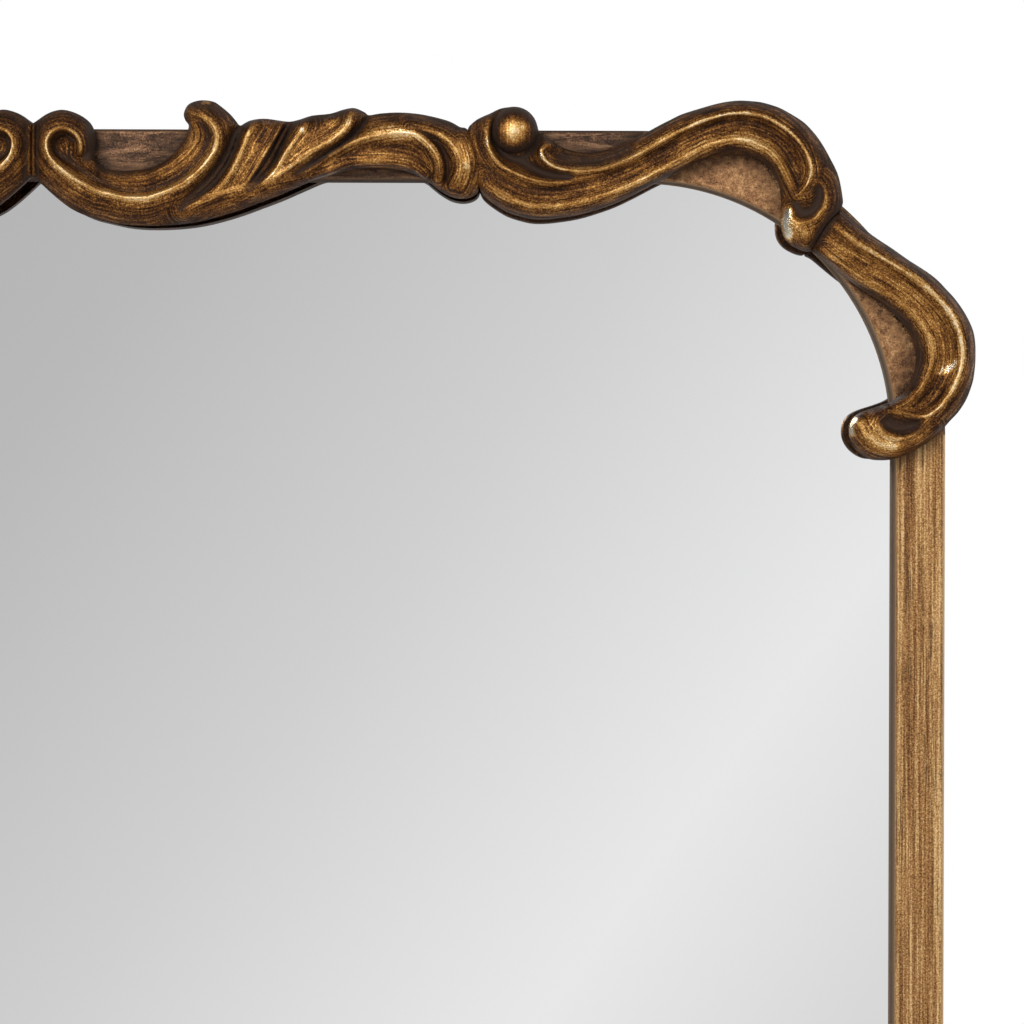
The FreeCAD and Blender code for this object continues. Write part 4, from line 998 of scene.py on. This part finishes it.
crest_creases = [
    [(369, 116, 3.6), (362, 125, 4.6), (352, 136, 5.6), (341, 144.5), (330, 151.5, 6.2),
     (319, 159, 6.8), (307, 167, 7.6), (297, 173, 8.2)],
    [(419, 131, 9.6), (427, 134, 8.4), (435, 138.5, 7.6), (441.5, 146.5, 7.2), (446, 157.5, 6.8),
     (447.5, 170, 6.2), (445.5, 181, 4.8)],
    [(239, 126.8, 3.8), (233.5, 134, 4.6), (228.5, 145), (223, 157, 5.2), (214.5, 169.5, 5.6),
     (205, 180.5), (194.5, 191, 6.2), (186, 200.5, 7.2), (180, 208.5, 8.2)],
    [(240.5, 127.5, 3.8), (238.5, 134, 4.6), (235, 145), (229.5, 158, 5.2), (222.5, 170, 5.6),
     (213, 182.5), (200, 194, 6.2), (189, 203.5, 7.2), (181, 209.5, 8.2)],
    [(286.5, 123.5, 3.8), (280, 133, 4.8), (273, 146), (267, 157, 5.8), (261, 167), (253, 178.5, 7),
     (247.5, 187.5, 8.2)],
    [(293, 122.8, 3.8), (287.5, 134, 4.8), (282, 145), (276.5, 157, 5.8), (270, 168), (260, 180, 7),
     (250, 189.5, 8.2)],
    [(37.6, 122.5, 4.2), (36.8, 135, 5), (36.4, 150, 5.2), (36.8, 165, 5), (38.8, 178, 4.2)],
]
crest_hollows = [
    (0.55, 3.4, [(201, 121.5, 9.2), (206, 130, 8.3), (208, 138, 8), (206, 147), (201, 155.5),
     (194.5, 163), (187, 169.5), (179, 176.5), (169, 182.3, 7.8), (160, 186), (150, 188.7),
     (140, 189.9), (130, 190), (120, 188.6), (111, 185.5, 7.4), (102, 181.3), (94, 178), (86, 173, 6.4),
     (78, 167), (71, 160.5, 5.4)]),
    (0.6, 4, [(73, 140, 5.2), (67, 135, 5), (60, 135.5, 4.8), (54.5, 141.5, 4.8), (55, 149.5, 4.8),
     (62, 156, 5), (71, 160.5, 5.4)]),
    (0.1, 5, [(66, 140.5, 4.8), (61, 143, 4.8), (62, 149, 4.8), (68, 154, 5), (76, 159, 5.6)]),
    (0.1, 4, [(71, 146, 4.8), (68, 148, 4.8), (73, 154, 5)]),
    (0, 6, [(267.5, 127, 8.8), (264, 135, 9), (259, 146, 9.3), (253.5, 158, 9.4), (246, 170, 9.2),
     (235.5, 182.5, 8.9)]),
    (0, 7, [(331, 119.5, 9), (320, 128.5, 9.4), (308, 140, 9.5), (298, 151, 9.4), (288, 162.5, 9.3),
     (276, 173.5, 9.1)]),
    (0.2, 5, [(322, 166.5, 8.4), (340, 157, 8), (360, 151, 7.9), (380, 148.5, 7.8), (400, 150, 7.8),
     (412, 154.5), (420, 161, 7.6), (426, 168.5), (430, 176, 6.6)]),
]
crest_stains_and_light = [
    # Painted shade on the curl's right wall, together with the dark wash in its recess.
    (1, 5, [(89, 128), (90.5, 140), (90, 150), (87, 157)]),
    (0.15, 8, [(46, 118), (60, 116), (74, 119), (84, 127)]),
    (-2.6, 1.2, [(301.5, 128.5), (303.5, 131.5)]),
    # Painted highlight on the top of the hook tip.
    (-1.6, 1.6, [(203, 102.5), (209, 102.8)]),
    (-0.6, 9, [(259, 130), (254, 146), (248, 160), (240, 171)]),
    (-0.45, 10, [(330, 124), (312, 137), (298, 150), (286, 163), (272, 174)]),
    (-0.4, 8, [(370, 130), (395, 128), (415, 130)]),
    (-0.35, 7, [(330, 166), (350, 157), (380, 154), (408, 158)]),
    (0.7, 4, [(264, 130), (261, 141)]),
    (0.6, 4, [(296, 121.5), (312, 118.8), (330, 116), (345, 111.8)]),
    (0.35, 5.5, [(241, 128), (238, 135), (234, 146), (228, 158), (220.5, 170.5), (211, 181.5),
     (199, 192.5)]),
    (0.35, 6, [(292, 123), (287, 134), (280.5, 146), (274.5, 157), (268, 168), (258, 179)]),
    (0.5, 4, [(364, 122), (353, 135), (336, 147.5), (318, 159.5), (303, 169)]),
    (0.35, 6, [(100, 169), (112, 174), (126, 175)]),
    (0.5, 5, [(196, 108), (210, 107), (222, 114)]),
    (-0.4, 2.8, [(31, 125), (31, 175)]),
    (-0.9, 3, [(469, 134), (475, 152), (478, 170), (479, 184)]),
    (-0.35, 7, [(464, 150), (467, 166), (464, 182)]),
    # Painted highlight on the bulb.
    (-0.9, 2, [(466, 165), (467, 169)]),
]
crest_flutes = [
    ([(196, 126), (198, 138), (192, 150), (180, 162), (163, 173), (145, 179), (125, 180),
     (105, 176)], 12, 0.26, 5),
]
pair("crest_spray", [casting(
    crest_outline, crest_ridges, crest_creases, crest_hollows, crest_stains_and_light, crest_flutes)])


# Pearl scrolls
# A long S-scroll with a channel between two ridges. It starts round a pearl, sends out a sprout
# beside it, climbs over the shoulder and closes in a cup with a knob.

pearl_outline = [
    (467.6, 129.3), (475, 121), (482, 117), (490, 113.5), (497, 110), (503, 108), (513, 107),
    (522, 109), (528.5, 113), (533, 118), (537, 124.5), (539, 131), (545, 136), (552, 141), (560, 146),
    (570, 150), (580, 152), (590, 152.5), (600, 151), (610, 148.5), (620, 144.6), (630, 140),
    (640, 135.5), (650, 130.5), (660, 125), (670, 120), (680, 115), (690, 111.5), (700, 108.5),
    (710, 105.5), (720, 103), (730, 101.3), (740, 100.5), (750, 101), (760, 102), (770, 104.5),
    (780, 108), (790, 113.4), (800, 119.5), (806, 124.2), (812, 130.5), (817, 136.5), (821.5, 143),
    (826, 150.5), (830, 158), (834, 165.5), (837, 172), (839.3, 179), (841, 187), (842.3, 195),
    (843, 203, 4.5), (840.5, 209, 6.5), (835.5, 215, 7), (829.5, 221, 7), (822.5, 231, 6.5),
    (815.5, 243, 5.5), (811, 251, 4), (805, 251.6), (797, 248.6), (789.5, 244), (784, 237.5),
    (781.5, 230), (781, 221), (781.4, 212), (781, 203), (780.5, 195), (779, 185), (775, 176),
    (769, 168), (762, 161.4), (752, 157.4), (740, 156), (725, 156), (712, 158), (700, 161.4),
    (690, 166), (680, 171), (668, 177.5), (654.6, 184.1), (638.5, 192.6), (618.6, 202.2),
    (598.7, 209.4), (579, 215), (559.4, 218.1), (545, 219.5), (530.5, 219), (511.7, 214), (502, 209.4),
    (492.2, 203), (483.5, 195.8), (479.2, 187, 6), (478.7, 178, 8.4), (477.7, 165, 9), (475.2, 152, 9),
    (471.2, 140, 8.4),
]
pearl_ridges = [
    [(491, 118.5, 7.8, 0.1, 0.8), (488.8, 124, 9.2, 0.4), (487.5, 133, 10.2, 0.62),
     (487.3, 142, 10.3, 0.8, 0.9), (490.5, 151, 10.3, 0.7, 0.8), (495.2, 159),
     (501.5, 165.7, 10.3, 0.62), (511, 171, 10.3, 0.55), (522, 176), (535, 180.3, 10.2, 0.5),
     (548, 182.3, 9.8, 0.5, 0.8), (562, 182.3, 9.4, 0.5), (574, 181, 9, 0.25), (588, 178.5, 8.6, 0.1),
     (602, 176, 8.2, 0)],
    [(549, 145.5, 8.8, 0.2, 0.6), (544.5, 146.5, 9.6, 0.4), (541.3, 150, 10.2, 0.66),
     (541.7, 155, 10.4, 0.8, 0.7), (545.3, 160.3), (551, 165, 10.5, 0.85), (559, 168.3),
     (568, 170.2, 10.5, 0.78, 1), (580, 171, 10.5, 0.7, 1.4), (592, 170.3), (603, 168.6),
     (614, 165, 10.6, 0.66, 1.4), (627, 160), (640, 153.3), (650, 147.7),
     (660.3, 141.7, 10.6, 0.68, 1.3), (670.5, 136.2), (680, 131, 10.7, 0.8, 0.8), (690.3, 126.5),
     (700, 122, 10.7, 0.92, 0.6), (710, 118.6), (720, 115.7), (730, 113.8), (740, 113, 10.7, 1, 0.55),
     (750, 113.3), (760, 115.2), (770, 119), (780, 124.5, 10.7, 0.85, 0.5), (788, 130.5),
     (795.5, 137.2, 10.7, 0.8, 0.5), (802, 145), (807.3, 154.4), (810.6, 164.6, 10.7, 0.82, 0.6),
     (811, 174, 10.4, 0.72), (807.3, 183.7, 10, 0.5), (802, 191, 9.6, 0.4), (797, 196, 9.2, 0.35)],
    [(485, 178, 8.4, 0, 1), (487.5, 184, 9.2, 0.25), (494, 189.5, 9.5, 0.45, 1.2), (502.8, 195.2),
     (515.5, 201, 9.7, 0.5), (528, 204.5), (541, 206), (555, 206, 9.7, 0.45, 1.1), (570, 203.7),
     (585, 200.8), (600, 196.5, 9.7, 0.52, 1.3), (615, 191.2), (630, 185, 9.7, 0.62, 1.2), (645, 178),
     (656, 172), (668, 166, 9.8, 0.62, 1.2), (680, 160, 9.8, 0.55, 1.5), (692, 153.3),
     (703, 147.5, 9.9, 0.55, 1.8), (714, 143), (725, 140.3), (737, 139, 9.9, 0.68, 1.9), (749, 140.5),
     (760, 145, 9.9, 0.55, 1.9), (770, 150.6), (778.8, 160.4, 9.9, 0.4, 1.5), (785, 171.5),
     (790.5, 183.5, 9.7, 0.35, 1), (795.5, 194, 9.2, 0.35, 0.7)],
    [(812, 181, 9.6, 0, 0.7), (818, 180.5, 10.1, 0.05), (822.8, 185, 10.4, 0.35),
     (825, 191, 10.5, 0.62), (825.8, 198), (824.3, 205.5, 10.3, 0.62), (820, 212.5, 10.1, 0.55),
     (814.5, 218.5, 10, 0.45, 1), (806.5, 222, 9.9, 0.35, 1.5), (797.5, 222.5, 9.8, 0.45, 1.5),
     (791.5, 217, 9, 0.2), (791, 209, 8.8, 0.1)],
    [(799, 226.5, 10.1, 0.3, 2.4), (804, 231, 10, 0.28), (806, 239, 9.4, 0.05)],
    [(801.5, 193.5, 9.3, 0.2, 1.2), (807, 194.5, 9, 0.15), (812, 191, 9.1, 0.1),
     (815.5, 185, 9.4, 0.05)],
]
pearl_hollows = [
    (0.3, 4, [(480, 133, 7.9), (482, 150, 8.4), (486.5, 165, 8.5), (496, 178, 8.2), (509.5, 184, 8),
     (524, 188, 7.8), (540, 190.5, 7.7), (558, 190), (578, 185.5, 7.6), (597, 180), (617, 173.5, 7.6),
     (637, 165.3), (657, 154.5), (678, 142.3, 7.5), (698, 131), (719, 123.4), (740, 121.8),
     (756, 124.3), (769, 131.5, 7.5), (779.5, 143), (787.5, 157, 7.4), (794, 170.5), (798.5, 182, 7.6),
     (798.5, 190, 8)]),
    (0.95, 5, [(496.5, 119, 6.4), (493.7, 130, 5.4), (495.5, 141, 5), (502, 151, 4.7),
     (511.5, 157.6, 4.7), (521, 161, 5), (530, 166.2, 5.4), (541, 171.8, 6), (554, 175.3, 7),
     (568, 176, 8)]),
    (0.95, 4.5, [(521, 158.5, 4.8), (528, 154, 4.6), (533, 148, 4.4), (537.5, 141.5, 4),
     (540.5, 136, 3.4)]),
    (0.7, 6.5, [(562, 157.5, 6.2), (580, 160.8, 6.2), (595, 160.3, 6.2), (612, 156, 6.4),
     (628, 149.5, 6.4)]),
    (1.2, 5, [(796.5, 206.5, 7.8), (801.5, 212, 7.2), (809, 212.3, 7), (815.5, 207, 7.2),
     (819, 199, 7.5), (819.5, 190, 8.2)]),
]
pearl_stains_and_light = [
    # Painted reflection of the side lamp on the knob's left wall.
    (-3.4, 4.8, [(787.5, 212), (786, 220), (786.6, 229), (788.5, 235)]),
    (0.7, 5, [(838, 206), (830, 217), (820, 232), (811, 248)]),
    (0.4, 5, [(719, 150.5), (740, 150), (760, 155), (773, 170), (781, 190)]),
    (-0.8, 3, [(470, 134), (475.5, 152), (478.5, 170), (479.5, 184)]),
    # Painted highlight on the left of the ridge beside the pearl.
    (-1.4, 1.6, [(486, 138), (486.5, 147)]),
    # Painted highlight on the sprout.
    (-1.6, 1.5, [(540.5, 153), (541, 158)]),
    # Painted highlight over the knob's crown.
    (-0.5, 7, [(797, 228), (803, 236)]),
    (-0.3, 8, [(560, 200), (600, 190), (640, 174), (680, 153), (715, 136), (745, 134), (765, 143)]),
]
pearl_flutes = [
    ([(560, 196), (600, 187), (640, 172), (680, 150), (720, 130), (755, 130)], 7, 0.06, 3.6),
]
# Painted highlight on the pearl's cap, and painted shade round its upper side.
pearl_boss = dome(514, 130.4, [
    (23.6, 1.5, 0, 1), (23.8, 3.4, 0, 1), (23.2, 5.4, 0, 1), (21.6, 7.2, 0, 0.9), (19.2, 8.8, 0, 0.7),
    (16.6, 9.8, 0, 0.35), (13.4, 10.6, 0.2, 0.1), (9, 11.15, 0.6, 0), (5, 11.35, 0.85, 0),
    (1.2, 11.4, 0.95, 0),
])
pair("pearl_scroll", [casting(
    pearl_outline, pearl_ridges, [], pearl_hollows, pearl_stains_and_light, pearl_flutes), pearl_boss])


# Corner hooks
# The garland ends in a hook that leaves the knob, follows the shoulder down past the side of the
# bar and turns back under over the glass, with an oval hollow in its nose.

hook_outline = [
    (841.3, 210), (845, 213.5), (851, 218), (858, 223.5), (865, 229.2), (872, 235), (881, 241.2),
    (890, 247), (900, 254), (910, 261), (920, 267.3), (930, 274), (938.5, 281), (946, 289),
    (953.5, 297), (960, 305.5), (966, 315), (971, 325), (974, 334), (975.5, 346), (975.5, 360),
    (974.6, 371), (973, 381), (969.5, 392), (965, 402), (958, 412.5), (950, 421), (942, 430),
    (934, 437.5), (925, 444), (915, 450.3), (905, 455), (896.5, 458.2), (888, 460), (879, 460.3),
    (870, 459.3), (861.5, 455), (855, 449), (850.5, 441.5), (848.8, 433), (849.8, 424.5),
    (853.5, 417.5), (860, 412.6), (868, 409.2), (876, 406.7), (884, 404), (892, 400.8), (900, 395.5),
    (907.5, 387.5), (913, 376), (915.7, 362), (914.8, 348), (909.8, 335), (900.5, 321.7), (890.5, 311),
    (880, 301.7), (869, 294.5), (860, 288.6), (850, 281.6), (840, 274), (829, 265), (818, 255.8),
    (811.6, 251.3, 4), (816, 243.2, 5.5), (823, 231.2, 6.5), (830, 221.4, 7), (836, 215.4, 6.5),
]
hook_ridges = [
    [(834, 224.5, 8.6, 0.3, 0.8), (842, 231, 10.2, 0.62), (850, 237.5, 10.7, 0.66, 0.9), (859.7, 244.5),
     (870, 250.5), (880, 256.7, 10.7, 0.72), (890, 262.4), (900, 268.4, 10.7, 0.8, 0.9), (910, 274.7),
     (920, 282), (930, 290.6, 10.7, 0.9, 1.1), (940, 300.5, 10.7, 0.95), (948, 310), (954.5, 320.7),
     (959.6, 333.4, 10.7, 0.95, 1), (962, 346), (962.5, 359), (960, 371.7),
     (955.3, 384, 10.7, 0.8, 0.9), (948.5, 395.7, 10.7, 0.7), (942, 404.5), (934.5, 411.5),
     (927, 416, 10.6, 0.78, 0.7), (917, 416.8, 10.4, 0.6), (907, 415, 10.2, 0.5), (898, 412, 9.8, 0.35),
     (889, 411.5, 9.4, 0.15)],
    [(824.5, 250.5, 8.2, 0.2, 1), (832, 257, 9.4, 0.45), (841, 263.5, 9.7, 0.4, 1.4), (850.3, 270),
     (860.5, 277), (871, 283.8, 9.7, 0.45, 1.6), (882, 289.8), (893, 296.5, 9.7, 0.36, 1.8),
     (903.5, 304), (914, 314, 9.7, 0.42, 1.6), (921.8, 324), (928.7, 335.5, 9.7, 0.52, 1.4),
     (932.3, 348.5), (931.8, 362, 9.7, 0.5, 1.3), (928, 375), (922.5, 386.5, 9.4, 0.4), (914.5, 396.5),
     (905, 404, 8.8, 0.15), (896, 408, 8.6, 0.05)],
    [(885.5, 415, 9.4, 0.15, 0.8), (879.5, 420.5, 9.9, 0.4, 1.2), (879.5, 428, 10.1, 0.6, 1.3),
     (885, 434.5, 10.2, 0.62, 1), (893, 437.8, 10.3, 0.7, 0.9), (902, 438.3), (911, 436.3, 10.3, 0.55),
     (918.5, 431.5, 10.2, 0.3), (924, 425, 10.2, 0.2), (930, 419, 10.3, 0.1)],
    [(860, 423, 9.2, 0.35, 2), (865, 433, 10, 0.45), (873, 441.5, 10.1, 0.4), (887, 446.5, 10, 0.35),
     (902, 446, 9.8, 0.3), (918, 439.5, 9.6, 0.15), (934, 427, 9.6, 0.05)],
]
hook_hollows = [
    (0, 5, [(829.5, 236, 7.8), (845, 248.5, 8), (865, 260.8, 7.9), (885, 272.5), (905, 286.8, 7.8),
     (922, 303.8), (935.5, 322, 7.6), (943, 342, 7.6), (945, 362, 7.5), (940, 382), (930.5, 398, 7.4),
     (917, 408, 7.8)]),
    (0.15, 8, [(939, 363, 7.7), (935, 382, 7.6), (926, 398, 7.6)]),
    (0.95, 8, [(886, 421.5, 7.6), (895, 425.5, 7.2), (905, 426.5, 7.2), (915, 424, 7.6)]),
]
hook_stains_and_light = [
    (0.5, 4, [(836, 218), (828, 229), (820, 242)]),
    (-2.2, 1.2, [(939.5, 374), (943, 368.5)]),
    (-2.4, 1.2, [(944.5, 373), (948, 366.5)]),
    (-2.4, 1.3, [(948, 371.5), (951.5, 366)]),
    (-2.6, 1.4, [(951.5, 368), (956, 361)]),
    (0.6, 4.5, [(886, 303), (903, 318), (916, 336), (921, 360), (915, 384)]),
    (-0.65, 10, [(835, 243), (866, 262), (898, 284), (926, 312), (942, 340), (946, 362)]),
    (-0.9, 8, [(869, 426), (876, 438), (892, 446)]),
    # Painted highlight on the nose's left wall.
    (-3, 3, [(854.5, 419.5), (851.3, 427), (851.8, 434)]),
    # Painted sheen along the hook's outer edge.
    (-0.8, 1.3, [(970.5, 332), (972, 348), (972, 370), (968.5, 388)]),
]
hook_flutes = [
    ([(835, 243), (866, 264), (905, 290), (932, 322), (941, 350), (937, 380)], 13, 0.1, 3.4),
]
pair("corner_hook", [casting(hook_outline, hook_ridges, [], hook_hollows, hook_stains_and_light, hook_flutes)])
